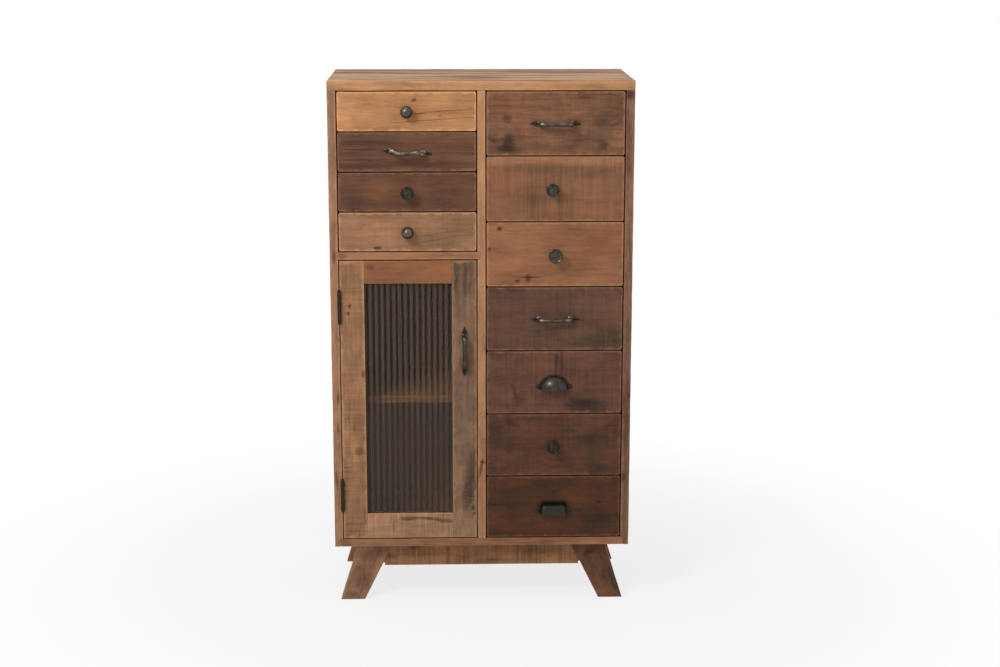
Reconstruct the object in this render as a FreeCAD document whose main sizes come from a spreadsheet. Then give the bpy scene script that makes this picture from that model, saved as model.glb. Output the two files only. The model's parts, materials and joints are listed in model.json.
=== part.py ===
"""Narrow hutch on splayed legs: four drawers over a glazed door on the left,
seven drawers on the right. Millimetres, +Z up, drawer fronts facing -Y.
The origin is at floor level, in the middle of the overall box."""
import FreeCAD, Part
import math
import os
import Sketcher

LEFT_DRAWERS = 4
RIGHT_DRAWERS = 7
BACK_BOARDS = 7
GLASS_REEDS = 16
HINGE_KNUCKLES = 5
LEAF_SCREW_LEVELS = (0.17, 0.5, 0.83)  # shares of the hinge's height
CATCH_SCREW_LEVELS = (0.25, 0.75)  # shares of the catch's height
TILT_OF_LOOSE_BOW = 3.5  # degrees clockwise
UPRIGHT = 90  # degrees, for a bow handle on the door

doc = FreeCAD.newDocument("hutch")
sheet = doc.addObject("Spreadsheet::Sheet", "sizes")


class Size:
    """A length that keeps its formula, so that one line of arithmetic gives the number
    and also binds it to the sheet."""

    def __init__(self, text, value):
        self.text = text
        self.value = float(value)

    def __add__(self, other):
        return Size("(%s + %s)" % (self.text, text_of(other)), self.value + number(other))

    def __sub__(self, other):
        return Size("(%s - %s)" % (self.text, text_of(other)), self.value - number(other))

    def __rsub__(self, other):
        return Size("(%s - %s)" % (text_of(other), self.text), number(other) - self.value)

    def __mul__(self, other):
        return Size("(%s * %s)" % (self.text, text_of(other)), self.value * number(other))

    def __truediv__(self, other):
        return Size("(%s / %s)" % (self.text, text_of(other)), self.value / number(other))

    def __neg__(self):
        return Size("(0 - %s)" % self.text, -self.value)

    __radd__ = __add__
    __rmul__ = __mul__


def number(length):
    return length.value if isinstance(length, Size) else float(length)


def text_of(length):
    return length.text if isinstance(length, Size) else "%.6f" % length


def size(name, value, meaning):
    """One driving dimension: a row of the sheet with its name, number and meaning."""
    row = str(size.rows)
    size.rows += 1
    sheet.set("A" + row, name)
    sheet.set("B" + row, str(value))
    sheet.setAlias("B" + row, name)
    sheet.set("C" + row, meaning)
    return Size("sizes." + name, value)


size.rows = 1

# Case
overall_width = size("overall_width", 700, "across the case and its top")
case_depth = size("case_depth", 360, "front face to back face of the case")
overall_height = size("overall_height", 1250, "floor to top")
base_height = size("base_height", 147, "floor to the underside of the case")
top_thickness = size("top_thickness", 22, "top planks")
side_thickness = size("side_thickness", 20, "outer side boards")
divider_thickness = size("divider_thickness", 19, "upright between the columns")
bottom_thickness = size("bottom_thickness", 19, "bottom board")
rail_thickness = size("rail_thickness", 18, "board between the left drawers and the door")
front_plank = size("front_plank", 222, "depth of the front plank of the top")
housing = size("housing", 6, "how far boards are let into the uprights")
back_thickness = size("back_thickness", 8, "back boards and the rebate they lie in")
back_lap = size("back_lap", 10, "how far the back boards lap the sides and top")
back_gap = size("back_gap", 0.8, "between back boards")
eased = size("eased", 1.2, "rounding of exposed edges")

# Shelf behind the door
shelf_thickness = size("shelf_thickness", 16, "shelf board")
shelf_top = size("shelf_top", 505, "floor to the shelf's upper face")
shelf_setback = size("shelf_setback", 45, "case face to the shelf's front edge")
cleat_size = size("cleat_size", 18, "height and width of the shelf cleats")
loose_fit = size("loose_fit", 0.4, "gap round the lift-out shelf")

# Fronts
reveal = size("reveal", 2, "gap round the drawer fronts and the door")
front_thickness = size("front_thickness", 20, "drawer fronts")
left_front_height = size("left_front_height", 90, "each left drawer front")
first_right_height = size("first_right_height", 146, "top right drawer front")

# Drawer boxes and runners
box_side = size("box_side", 12, "drawer sides and backs")
box_bottom = size("box_bottom", 6, "drawer bottoms")
box_depth = size("box_depth", 300, "back of the front to the back of the box")
box_side_gap = size("box_side_gap", 1, "between a drawer side and the case")
box_lift = size("box_lift", 8, "front's lower edge to the box's lower edge")
box_drop = size("box_drop", 14, "front's upper edge to the box's upper edge")
box_groove = size("box_groove", 5, "depth of the groove for the bottom")
bottom_lift = size("bottom_lift", 8, "box's lower edge to its bottom panel")
groove_fit = size("groove_fit", 0.2, "play of a panel in its groove")
runner_out = size("runner_out", 7, "how far a runner stands out")
runner_height = size("runner_height", 14, "runner strip")
runner_length = size("runner_length", 300, "runner strip")
runner_side_play = size("runner_side_play", 0.5, "runner to the bottom of its groove")
runner_top_play = size("runner_top_play", 0.3, "above the runner in its groove")
runner_low_play = size("runner_low_play", 0.6, "under the runner in its groove")
stop_gap = size("stop_gap", 0.4, "runner's end to the closed drawer front")

# Wood screws
screw_radius = size("screw_radius", 1.75, "thread")
screw_head_radius = size("screw_head_radius", 3.5, "countersunk head")
screw_head_depth = size("screw_head_depth", 2.2, "countersunk head")
screw_length = size("screw_length", 15, "runner, cleat and back screws")
screw_inset = size("screw_inset", 35, "runner's end to its screw")
screw_play = size("screw_play", 0.1, "round every screw")

# Door
door_thickness = size("door_thickness", 20, "door frame")
hinge_gap = size("hinge_gap", 1.5, "case side to the door at the hinges")
stile_width = size("stile_width", 57, "upright members of the door")
top_rail_height = size("top_rail_height", 54, "upper member of the door")
low_rail_height = size("low_rail_height", 61, "lower member of the door")
tenon_length = size("tenon_length", 30, "rail tenons")
tenon_thickness = size("tenon_thickness", 6, "rail tenons")
tenon_shoulder = size("tenon_shoulder", 8, "above and below a tenon")
glass_lip = size("glass_lip", 7, "wood in front of the glass")
glass_rebate = size("glass_rebate", 8, "width of the ledge behind the opening")
glass_thickness = size("glass_thickness", 4, "flat part of the reeded glass")
reed_depth = size("reed_depth", 1.4, "height of the glass reeds")
glass_play = size("glass_play", 1, "glass edge to the rebate")

# Hinges
hinge_height = size("hinge_height", 76, "butt hinge")
hinge_inset = size("hinge_inset", 108, "door's end to the middle of a hinge")
leaf_thickness = size("leaf_thickness", 2, "hinge leaf")
leaf_width = size("leaf_width", 19, "case face to the leaf's far edge")
leaf_screw_share = size("leaf_screw_share", 0.55, "a leaf's width to its screws, as a share")
barrel_radius = size("barrel_radius", 4.5, "hinge barrel")
barrel_out = size("barrel_out", 5, "case face to the hinge axis")
barrel_play = size("barrel_play", 0.3, "round and between the knuckles")
pin_radius = size("pin_radius", 2.4, "hinge pin")
pin_play = size("pin_play", 0.06, "between the pin and the knuckles")
pin_head_radius = size("pin_head_radius", 4.1, "button ends of the pin")
pin_head_height = size("pin_head_height", 2, "button ends of the pin")

# Catch
catch_width = size("catch_width", 14, "catch body, across")
catch_depth = size("catch_depth", 16, "catch body, front to back")
catch_height = size("catch_height", 46, "catch body")
catch_drop = size("catch_drop", 70, "door's top to the middle of the catch")
plate_thickness = size("plate_thickness", 1.5, "steel plate on the door")
plate_gap = size("plate_gap", 0.3, "steel plate to the closed catch")

# Base
leg_thickness = size("leg_thickness", 30, "legs, front to back")
leg_setback = size("leg_setback", 38, "case front to the face of a front leg")
rear_leg_setback = size("rear_leg_setback", 16, "case back to the back of a rear leg")
foot_inset = size("foot_inset", 10, "case side to the foot's outer corner")
foot_width = size("foot_width", 58, "leg at the floor")
leg_top_inset = size("leg_top_inset", 56, "case side to the leg's outer corner above")
leg_top_width = size("leg_top_width", 84, "leg under the case")
apron_height = size("apron_height", 62, "front and rear aprons and side rails")
apron_thickness = size("apron_thickness", 20, "aprons and side rails")
apron_setback = size("apron_setback", 4, "leg's face to the apron's face")
apron_notch = size("apron_notch", 7, "cut at the apron's lower corners")

# Pulls
knob_reach = size("knob_reach", 30, "case face to the end of the knobs")
rose_radius = size("rose_radius", 11, "base of the knobs")
rose_thickness = size("rose_thickness", 2.5, "base of the knobs")
neck_radius = size("neck_radius", 5.5, "neck of the knobs")
ball_radius = size("ball_radius", 14, "ball knob")
ringed_radius = size("ringed_radius", 15.5, "knob with rings")
rimmed_radius = size("rimmed_radius", 17, "knob with a rim")
disc_thickness = size("disc_thickness", 8, "head of the flat knobs")
flare_height = size("flare_height", 8, "slope from the neck out to the head of the flat knobs")
ring_radius = size("ring_radius", 10, "ring on the face of the ringed knob")
ring_wire = size("ring_wire", 1.3, "half the width of a ring")
bolt_radius = size("bolt_radius", 2, "machine screw of a knob")
bolt_length = size("bolt_length", 30, "machine screw of a knob")
bolt_head_radius = size("bolt_head_radius", 4.2, "head behind the front")
bolt_head_height = size("bolt_head_height", 2.4, "head behind the front")
bow_reach = size("bow_reach", 27, "case face to the outside of a bow handle")
bow_span = size("bow_span", 73, "between the feet of a bow handle")
bow_radius = size("bow_radius", 4, "half the thickness of a bow")
bow_bend = size("bow_bend", 12, "centre line radius of a bow's corners")
bow_screws = size("bow_screws", 90, "between the screws of a bow handle")
leaf_plate_length = size("leaf_plate_length", 28, "leaf-shaped end of a bow handle")
leaf_plate_width = size("leaf_plate_width", 15, "leaf-shaped end of a bow handle")
leaf_plate_thickness = size("leaf_plate_thickness", 2.6, "leaf-shaped end of a bow handle")
collar_radius = size("collar_radius", 6.5, "collar at the foot of a bow")
collar_height = size("collar_height", 7, "collar at the foot of a bow")
collar_lip = size("collar_lip", 0.2, "step from a collar down to the bow")
pull_screw_length = size("pull_screw_length", 15, "wood screws of the handles and cups")
cup_wall = size("cup_wall", 2.4, "wall and flange of the cup pulls")
cup_radius = size("cup_radius", 31, "dome of the round cup pull")
cup_sink = size("cup_sink", 7, "dome's centre behind the drawer front")
cup_flange_radius = size("cup_flange_radius", 42, "flange of the round cup pull")
cup_flange_sink = size("cup_flange_sink", 4, "flange's centre under the open edge")
cup_screws = size("cup_screws", 72, "between the side screws of a cup pull")
cup_screw_lift = size("cup_screw_lift", 7, "open edge to the side screws")
cup_screw_rim = size("cup_screw_rim", 1, "metal outside the head of the top screw")
hood_height = size("hood_height", 30, "flange of the square cup pull")
hood_foot = size("hood_foot", 86, "flange's lower width on the square cup pull")
hood_crown = size("hood_crown", 58, "flange's upper width on the square cup pull")
hood_width = size("hood_width", 60, "body of the square cup pull at its open edge")
hood_top_width = size("hood_top_width", 50, "body of the square cup pull at the top")
hood_reach = size("hood_reach", 23, "case face to the face of the square cup pull")
hood_face = size("hood_face", 17, "height of its upright face")
hood_floor = size("hood_floor", 0.5, "its hollow at the top of the slope, from the case face")
door_handle_drop = size("door_handle_drop", 215, "door's top to the middle of its handle")

# Places worked out from the driving dimensions
half = overall_width / 2
front = (knob_reach - case_depth) / 2
back = front + case_depth
under_top = overall_height - top_thickness
floor_of_case = base_height + bottom_thickness
column_width = (overall_width - 2 * side_thickness - divider_thickness) / 2
left_x = -half + side_thickness
right_x = divider_thickness / 2
inside_back = back - back_thickness
rail_top = under_top - LEFT_DRAWERS * left_front_height - (LEFT_DRAWERS + 1) * reveal
rail_low = rail_top - rail_thickness
other_right_height = (under_top - floor_of_case - first_right_height
                      - (RIGHT_DRAWERS + 1) * reveal) / (RIGHT_DRAWERS - 1)
behind_front = front + front_thickness

AXES = {
    "+x": FreeCAD.Vector(1, 0, 0), "-x": FreeCAD.Vector(-1, 0, 0),
    "+y": FreeCAD.Vector(0, 1, 0), "-y": FreeCAD.Vector(0, -1, 0),
    "+z": FreeCAD.Vector(0, 0, 1), "-z": FreeCAD.Vector(0, 0, -1),
}
nodes = []


def bind(item, prop, length):
    """Set a property, by its formula where it has one."""
    if isinstance(length, Size):
        item.setExpression(prop, length.text)
    else:
        item.setExpression(prop, "%.6f" % length)


def put(item, place, rotation=None):
    """Place an item by a point whose three parts may be formulas."""
    if rotation:
        item.Placement = FreeCAD.Placement(FreeCAD.Vector(0, 0, 0), rotation)
    for part, length in zip("xyz", place):
        bind(item, "Placement.Base." + part, length)
    return item


def pointing(axis):
    return FreeCAD.Rotation(FreeCAD.Vector(0, 0, 1), AXES[axis])


def block(name, x, y, z, length, width, height):
    """A straight board by its lowest corner and its sizes along X, Y and Z."""
    item = doc.addObject("Part::Box", name)
    bind(item, "Length", length)
    bind(item, "Width", width)
    bind(item, "Height", height)
    return put(item, (x, y, z))


def rod(name, place, axis, radius, length):
    item = doc.addObject("Part::Cylinder", name)
    bind(item, "Radius", radius)
    bind(item, "Height", length)
    return put(item, place, pointing(axis))


def cone(name, place, axis, first, second, length):
    item = doc.addObject("Part::Cone", name)
    bind(item, "Radius1", first)
    bind(item, "Radius2", second)
    bind(item, "Height", length)
    return put(item, place, pointing(axis))


def ball(name, place, radius):
    item = doc.addObject("Part::Sphere", name)
    bind(item, "Radius", radius)
    return put(item, place)


def ring(name, place, axis, radius, wire):
    item = doc.addObject("Part::Torus", name)
    bind(item, "Radius1", radius)
    bind(item, "Radius2", wire)
    return put(item, place, pointing(axis))


def fuse(name, items):
    item = doc.addObject("Part::MultiFuse", name)
    item.Shapes = items
    item.Refine = True
    return item


def cut(name, base, tools):
    item = doc.addObject("Part::Cut", name)
    item.Base = base
    item.Tool = tools[0] if len(tools) == 1 else fuse(name + "_tools", tools)
    return item


def common(name, first, second):
    item = doc.addObject("Part::Common", name)
    item.Base = first
    item.Tool = second
    return item


def group(name, items):
    item = doc.addObject("Part::Compound", name)
    item.Links = items
    return item


def node(label, item):
    """Name a finished sub-part."""
    item.Label = label
    nodes.append(item)
    return item


def soften(name, base, chosen):
    """Round the edges of a board that a test chooses."""
    doc.recompute()
    item = doc.addObject("Part::Fillet", name)
    item.Base = base
    item.Edges = [(place + 1, eased.value, eased.value)
                  for place, edge in enumerate(base.Shape.Edges) if chosen(edge)]
    return item


def on_plane(part, level):
    """A test for edges that lie in one plane across X, Y or Z."""
    def chosen(edge):
        return all(abs(getattr(vertex.Point, part) - number(level)) < 0.001
                   for vertex in edge.Vertexes)
    return chosen


def screw(name, place, axis, length):
    """A countersunk wood screw; the place is the middle of its head's face."""
    head = cone(name + "_head", place, axis, screw_head_radius, screw_radius, screw_head_depth)
    thread = rod(name + "_thread", place, axis, screw_radius, length)
    return fuse(name, [head, thread])


def screw_hole(name, place, axis, length):
    """The two tools that cut a screw's hole, with its play."""
    head = cone(name + "_sink", place, axis, screw_head_radius + screw_play,
                screw_radius + screw_play, screw_head_depth)
    thread = rod(name + "_bore", place, axis, screw_radius + screw_play, length + screw_play)
    return [head, thread]


def make_screws(screws):
    """Screws from a list of name, place and axis, and the tools for their holes."""
    solids = []
    tools = []
    for name, place, axis in screws:
        solids.append(screw(name, place, axis, screw_length))
        tools += screw_hole(name, place, axis, screw_length)
    return solids, tools


# Drawer places, top to bottom in each column
def column_fronts(count, first_height, other_height):
    fronts = []
    top = under_top - reveal
    for place_down in range(count):
        height = first_height if place_down == 0 else other_height
        fronts.append((top - height, height))
        top = top - height - reveal
    return fronts


columns = {
    "left": (left_x, column_fronts(LEFT_DRAWERS, left_front_height, left_front_height)),
    "right": (right_x, column_fronts(RIGHT_DRAWERS, first_right_height, other_right_height)),
}


def box_sizes(low, height):
    """Lower edge and height of a drawer box behind a front."""
    return low + box_lift, height - box_lift - box_drop


def runner_low(low, height):
    box_low, box_height = box_sizes(low, height)
    groove_low = box_low + (box_height - runner_height) / 2
    return groove_low + runner_low_play


# Runners, their screws, and every screw hole in the three uprights
runners = []
wall_holes = {"left": [], "right": [], "divider": []}
case_screws = []
for side, (column_x, fronts) in columns.items():
    for place_down, (low, height) in enumerate(fronts, 1):
        strip_low = runner_low(low, height)
        strip_y = behind_front + stop_gap
        for wall, strip_x, head_x, axis in (
                ("near", column_x, column_x + runner_out, "-x"),
                ("far", column_x + column_width - runner_out,
                 column_x + column_width - runner_out, "+x")):
            name = "runner_%s_%d_%s" % (side, place_down, wall)
            strip = block(name + "_strip", strip_x, strip_y, strip_low,
                          runner_out, runner_length, runner_height)
            places = [(head_x, strip_y + screw_inset, strip_low + runner_height / 2),
                      (head_x, strip_y + runner_length - screw_inset,
                       strip_low + runner_height / 2)]
            solids, tools = make_screws([("%s_screw_%d" % (name, count), spot, axis)
                                         for count, spot in enumerate(places, 1)])
            runners.append(cut(name, strip, tools))
            case_screws += solids
            outer_wall = (side == "left") == (wall == "near")
            wall_holes[side if outer_wall else "divider"] += tools

# Shelf cleats and their screws
cleats = []
cleat_low = shelf_top - shelf_thickness - cleat_size
cleat_y = front + shelf_setback
cleat_length = inside_back - cleat_y
for wall, cleat_x, head_x, axis in (
        ("left", left_x, left_x + cleat_size, "-x"),
        ("divider", -divider_thickness / 2 - cleat_size,
         -divider_thickness / 2 - cleat_size, "+x")):
    strip = block("cleat_%s_strip" % wall, cleat_x, cleat_y, cleat_low,
                  cleat_size, cleat_length, cleat_size)
    sink_x = head_x - (cleat_size - runner_out) * (1 if axis == "-x" else -1)
    places = [(sink_x, cleat_y + screw_inset, cleat_low + cleat_size / 2),
              (sink_x, cleat_y + cleat_length - screw_inset, cleat_low + cleat_size / 2)]
    counterbores = [rod("cleat_%s_counterbore_%d" % (wall, count), spot,
                        "+x" if axis == "-x" else "-x",
                        screw_head_radius + screw_play, cleat_size - runner_out)
                    for count, spot in enumerate(places, 1)]
    solids, tools = make_screws([("cleat_%s_screw_%d" % (wall, count), spot, axis)
                                 for count, spot in enumerate(places, 1)])
    cleats.append(cut("cleat_" + wall, strip, tools + counterbores))
    case_screws += solids
    wall_holes[wall] += tools

# Back boards, screwed to the top, the bottom board and the rebates
back_width = overall_width - 2 * side_thickness + 2 * back_lap
board_width = (back_width - (BACK_BOARDS - 1) * back_gap) / BACK_BOARDS
back_low = base_height
back_top = under_top + back_lap
back_boards = []
top_holes = []
bottom_holes = []
for count in range(BACK_BOARDS):
    board_x = -back_width / 2 + count * (board_width + back_gap)
    board = block("back_strip_%d" % count, board_x, inside_back, back_low,
                  board_width, back_thickness, back_top - back_low)
    middle = board_x + board_width / 2
    high_solids, high_tools = make_screws([
        ("back_high_screw_%d" % count, (middle, back, under_top + back_lap / 2), "-y")])
    low_solids, low_tools = make_screws([
        ("back_low_screw_%d" % count, (middle, back, base_height + bottom_thickness / 2), "-y")])
    back_boards.append(cut("back_board_%d" % count, board, high_tools + low_tools))
    case_screws += high_solids + low_solids
    top_holes += high_tools
    bottom_holes += low_tools

# Top: two planks glued edge to edge, the rear one rebated for the back boards
front_board = block("top_front_block", -half, front, under_top,
                    overall_width, front_plank, top_thickness)
rear_board = block("top_rear_block", -half, front + front_plank, under_top,
                   overall_width, case_depth - front_plank, top_thickness)
top_rebate = block("top_rebate", -back_width / 2, inside_back, under_top,
                   back_width, back_thickness, back_lap)
front_board = soften("top_front_board", front_board, on_plane("y", front))
rear_board = cut("top_rear_board", rear_board, [top_rebate] + top_holes)
node("top_planks", group("top", [front_board, rear_board]))

# Boards between the uprights
bottom_board = block("bottom_block", left_x - housing, front, base_height,
                     2 * (half - side_thickness + housing), case_depth - back_thickness,
                     bottom_thickness)
rail_board = block("rail_block", left_x - housing, front, rail_low,
                   column_width + 2 * housing, case_depth - back_thickness, rail_thickness)

# Hinge places and the recesses for the leaves
hinge_x = left_x + hinge_gap / 2
hinge_y = front - barrel_out
door_low = floor_of_case + reveal
door_top = rail_low - reveal
hinge_levels = {
    "upper": door_top - hinge_inset - hinge_height / 2,
    "lower": door_low + hinge_inset - hinge_height / 2,
}
door_x = left_x + hinge_gap
door_width = column_width - hinge_gap - reveal
leaf_recesses = {"frame": [], "door": []}
leaf_x = {"frame": left_x - leaf_thickness, "door": door_x}
for level, level_z in hinge_levels.items():
    for leaf in ("frame", "door"):
        leaf_recesses[leaf].append(block("recess_%s_%s" % (leaf, level), leaf_x[leaf], front,
                                         level_z, leaf_thickness, leaf_width, hinge_height))

# Hinges: two leaves with alternate knuckles round a pin
knuckle = hinge_height / HINGE_KNUCKLES
leaf_screw_y = front + leaf_width * leaf_screw_share
hinge_parts = {"frame": [], "door": [], "pins": []}
leaf_tools = {"frame": [], "door": []}
for level, level_z in hinge_levels.items():
    for leaf, sign, axis in (("frame", 1, "-x"), ("door", -1, "+x")):
        name = "%s_leaf_%s" % (leaf, level)
        plate = block(name + "_plate", leaf_x[leaf], front, level_z,
                      leaf_thickness, leaf_width, hinge_height)
        solids = [plate]
        own = range(0, HINGE_KNUCKLES, 2) if leaf == "frame" else range(1, HINGE_KNUCKLES, 2)
        for count in own:
            low_play = 0 if count == 0 else barrel_play / 2
            high_play = 0 if count == HINGE_KNUCKLES - 1 else barrel_play / 2
            tube_low = level_z + count * knuckle + low_play
            tube_height = knuckle - low_play - high_play
            solids.append(rod("%s_tube_%d" % (name, count), (hinge_x, hinge_y, tube_low),
                              "+z", barrel_radius, tube_height))
            solids.append(block("%s_tab_%d" % (name, count), leaf_x[leaf], hinge_y, tube_low,
                                leaf_thickness, barrel_out, tube_height))
        bore = rod(name + "_bore", (hinge_x, hinge_y, level_z), "+z",
                   pin_radius + pin_play, hinge_height)
        face_x = left_x if leaf == "frame" else door_x
        screws = [("%s_screw_%d" % (name, count),
                   (face_x, leaf_screw_y, level_z + hinge_height * share), axis)
                  for count, share in enumerate(LEAF_SCREW_LEVELS, 1)]
        screw_solids, tools = make_screws(screws)
        hinge_parts[leaf] += [cut(name, fuse(name + "_blank", solids), [bore] + tools)]
        hinge_parts[leaf] += screw_solids
        leaf_tools[leaf] += tools
    pin = rod("pin_%s_shaft" % level, (hinge_x, hinge_y, level_z - pin_head_height), "+z",
              pin_radius, hinge_height + 2 * pin_head_height)
    low_head = rod("pin_%s_foot" % level, (hinge_x, hinge_y, level_z), "-z",
                   pin_head_radius, pin_head_height)
    high_head = cone("pin_%s_head" % level, (hinge_x, hinge_y, level_z + hinge_height), "+z",
                     pin_head_radius, pin_radius, pin_head_height)
    hinge_parts["pins"].append(fuse("pin_" + level, [pin, low_head, high_head]))

# Catch on the divider and its steel plate on the door
catch_x = -divider_thickness / 2 - catch_width
catch_low = door_top - catch_drop - catch_height / 2
catch_y = front + door_thickness + plate_thickness + plate_gap
catch_block = block("catch_block", catch_x, catch_y, catch_low,
                    catch_width, catch_depth, catch_height)
catch_sink = catch_width - runner_out
catch_screws, catch_tools = make_screws([
    ("catch_screw_%d" % count, (catch_x + catch_sink, catch_y + catch_depth / 2,
                                catch_low + catch_height * share), "+x")
    for count, share in enumerate(CATCH_SCREW_LEVELS, 1)])
catch_counterbores = [rod("catch_counterbore_%d" % count,
                          (catch_x + catch_sink, catch_y + catch_depth / 2,
                           catch_low + catch_height * share), "-x",
                          screw_head_radius + screw_play, catch_sink)
                      for count, share in enumerate(CATCH_SCREW_LEVELS, 1)]
catch_body = cut("catch_body", catch_block, catch_tools + catch_counterbores)
wall_holes["divider"] += catch_tools

# Uprights
side_height = under_top - base_height
for side, board_x, rebate_x in (
        ("left", -half, -back_width / 2),
        ("right", half - side_thickness, half - side_thickness)):
    board = block("side_%s_block" % side, board_x, front, base_height,
                  side_thickness, case_depth, side_height)
    rebate = block("side_%s_rebate" % side, rebate_x, inside_back, base_height,
                   back_lap, back_thickness, side_height)
    tools = [rebate, bottom_board] + wall_holes[side]
    if side == "left":
        tools += [rail_board] + leaf_recesses["frame"] + leaf_tools["frame"]
    node("side_" + side, cut("side_%s_board" % side, board, tools))
divider_board = block("divider_block", -divider_thickness / 2, front, floor_of_case,
                      divider_thickness, case_depth - back_thickness,
                      under_top - floor_of_case)
node("divider", cut("divider_board", divider_board, [rail_board] + wall_holes["divider"]))
node("bottom_board", cut("bottom", bottom_board, bottom_holes))
node("door_head_rail", rail_board)
node("back_boards", group("back", back_boards))

# Shelf
shelf_x = left_x + loose_fit
shelf = block("shelf_board", shelf_x, front + shelf_setback, shelf_top - shelf_thickness,
              column_width - 2 * loose_fit, cleat_length - loose_fit, shelf_thickness)
node("shelf", shelf)
node("shelf_cleats", group("cleats", cleats))
node("drawer_runners", group("runners", runners))
node("carcass_screws", group("screws", case_screws))


# Base
def leg(name, sign, leg_y):
    """A splayed leg: its face is a four-sided sketch, padded to the leg's thickness."""
    body = doc.addObject("PartDesign::Body", name)
    planes = [item for item in body.Origin.OriginFeatures if item.Role == "XZ_Plane"]
    sketch = body.newObject("Sketcher::SketchObject", name + "_face")
    sketch.AttachmentSupport = [(planes[0], "")]
    sketch.MapMode = "FlatFace"
    splay = leg_top_inset - foot_inset
    corners = [(0, 0), (foot_width, 0), (splay + leg_top_width, base_height),
               (splay, base_height)]
    points = [FreeCAD.Vector(number(across), number(up), 0) for across, up in corners]
    for count, point in enumerate(points):
        sketch.addGeometry(Part.LineSegment(point, points[(count + 1) % 4]), False)
    for count in range(4):
        sketch.addConstraint(Sketcher.Constraint("Coincident", count, 2, (count + 1) % 4, 1))
    sketch.addConstraint(Sketcher.Constraint("Coincident", 0, 1, -1, 1))
    sketch.addConstraint(Sketcher.Constraint("Horizontal", 0))
    sketch.addConstraint(Sketcher.Constraint("Horizontal", 2))
    for across_name, line, across in (("foot", 1, foot_width),
                                      ("head_far", 2, splay + leg_top_width),
                                      ("head_near", 3, splay)):
        place = sketch.addConstraint(
            Sketcher.Constraint("DistanceX", -1, 1, line, 1, number(across)))
        sketch.renameConstraint(place, across_name)
        sketch.setExpression("Constraints." + across_name, across.text)
    place = sketch.addConstraint(
        Sketcher.Constraint("DistanceY", -1, 1, 2, 1, number(base_height)))
    sketch.renameConstraint(place, "rise")
    sketch.setExpression("Constraints.rise", base_height.text)
    pad = body.newObject("PartDesign::Pad", name + "_pad")
    pad.Profile = sketch
    bind(pad, "Length", leg_thickness)
    body.Tip = pad
    pad.Reversed = True
    turn = FreeCAD.Rotation(FreeCAD.Vector(0, 0, 1), 0 if sign < 0 else 180)
    put(body, (sign * (half - foot_inset), leg_y if sign < 0 else leg_y + leg_thickness, 0),
        turn)
    return body


front_leg_y = front + leg_setback
rear_leg_y = back - rear_leg_setback - leg_thickness
for side, sign in (("left", -1), ("right", 1)):
    node("leg_front_" + side, leg("front_leg_" + side, sign, front_leg_y))
node("legs_rear", group("rear_legs", [leg("rear_leg_left", -1, rear_leg_y),
                                      leg("rear_leg_right", 1, rear_leg_y)]))

apron_low = base_height - apron_height
leg_inner_top = half - leg_top_inset - leg_top_width
leg_inner_slope = (foot_inset + foot_width - leg_top_inset - leg_top_width) / base_height


def apron(name, apron_y):
    """An apron whose sloping ends meet the legs, with its lower corners notched."""
    item = doc.addObject("Part::Wedge", name + "_blank")
    top_half = leg_inner_top
    low_half = leg_inner_top - leg_inner_slope * apron_height
    bind(item, "Xmin", -low_half)
    bind(item, "Xmax", low_half)
    bind(item, "X2min", -top_half)
    bind(item, "X2max", top_half)
    bind(item, "Ymin", 0)
    bind(item, "Ymax", apron_height)
    bind(item, "Zmin", 0)
    bind(item, "Zmax", apron_thickness)
    bind(item, "Z2min", 0)
    bind(item, "Z2max", apron_thickness)
    put(item, (0, apron_y + apron_thickness, apron_low),
        FreeCAD.Rotation(FreeCAD.Vector(1, 0, 0), 90))
    notches = [block("%s_notch_%d" % (name, count), corner, apron_y, apron_low,
                     apron_notch, apron_thickness, apron_notch)
               for count, corner in enumerate((-low_half, low_half - apron_notch), 1)]
    return cut(name, item, notches)


node("apron_front", apron("front_apron", front_leg_y + apron_setback))
rear_apron = apron("rear_apron", rear_leg_y + leg_thickness - apron_setback - apron_thickness)
rail_inset = leg_top_inset + (leg_top_width - apron_thickness) / 2
side_rails = [block("side_rail_%d" % count, rail_x, front_leg_y + leg_thickness, apron_low,
                    apron_thickness, rear_leg_y - front_leg_y - leg_thickness, apron_height)
              for count, rail_x in enumerate((-half + rail_inset,
                                              half - rail_inset - apron_thickness), 1)]
node("base_rails", group("rails", [rear_apron] + side_rails))
node("hinge_frame_leaves", group("frame_leaves", hinge_parts["frame"]))
node("hinge_pins", group("pins", hinge_parts["pins"]))
node("door_catch", group("catch", [catch_body] + catch_screws))


# Pulls, each drawn about a centre (x, front, z) on the drawer front
def ball_knob(name, x, z):
    rose = rod(name + "_rose", (x, front, z), "-y", rose_radius, rose_thickness)
    neck = rod(name + "_neck", (x, front, z), "-y", neck_radius, knob_reach - ball_radius)
    head = ball(name + "_ball", (x, front - knob_reach + ball_radius, z), ball_radius)
    return knob_on_bolt(name, x, z, [rose, neck, head])


def flat_knob(name, x, z, radius, face_ring):
    face = knob_reach - ring_wire
    rose = rod(name + "_rose", (x, front, z), "-y", rose_radius, rose_thickness)
    neck = rod(name + "_neck", (x, front, z), "-y", neck_radius, face)
    flare = cone(name + "_flare", (x, front - face + disc_thickness + flare_height, z), "-y",
                 neck_radius, radius, flare_height)
    disc = rod(name + "_disc", (x, front - face + disc_thickness, z), "-y",
               radius, disc_thickness)
    bead = ring(name + "_ring", (x, front - face, z), "-y", face_ring, ring_wire)
    return knob_on_bolt(name, x, z, [rose, neck, flare, disc, bead])


def ringed_knob(name, x, z):
    return flat_knob(name, x, z, ringed_radius, ring_radius)


def rimmed_knob(name, x, z):
    return flat_knob(name, x, z, rimmed_radius, rimmed_radius - ring_wire)


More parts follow.
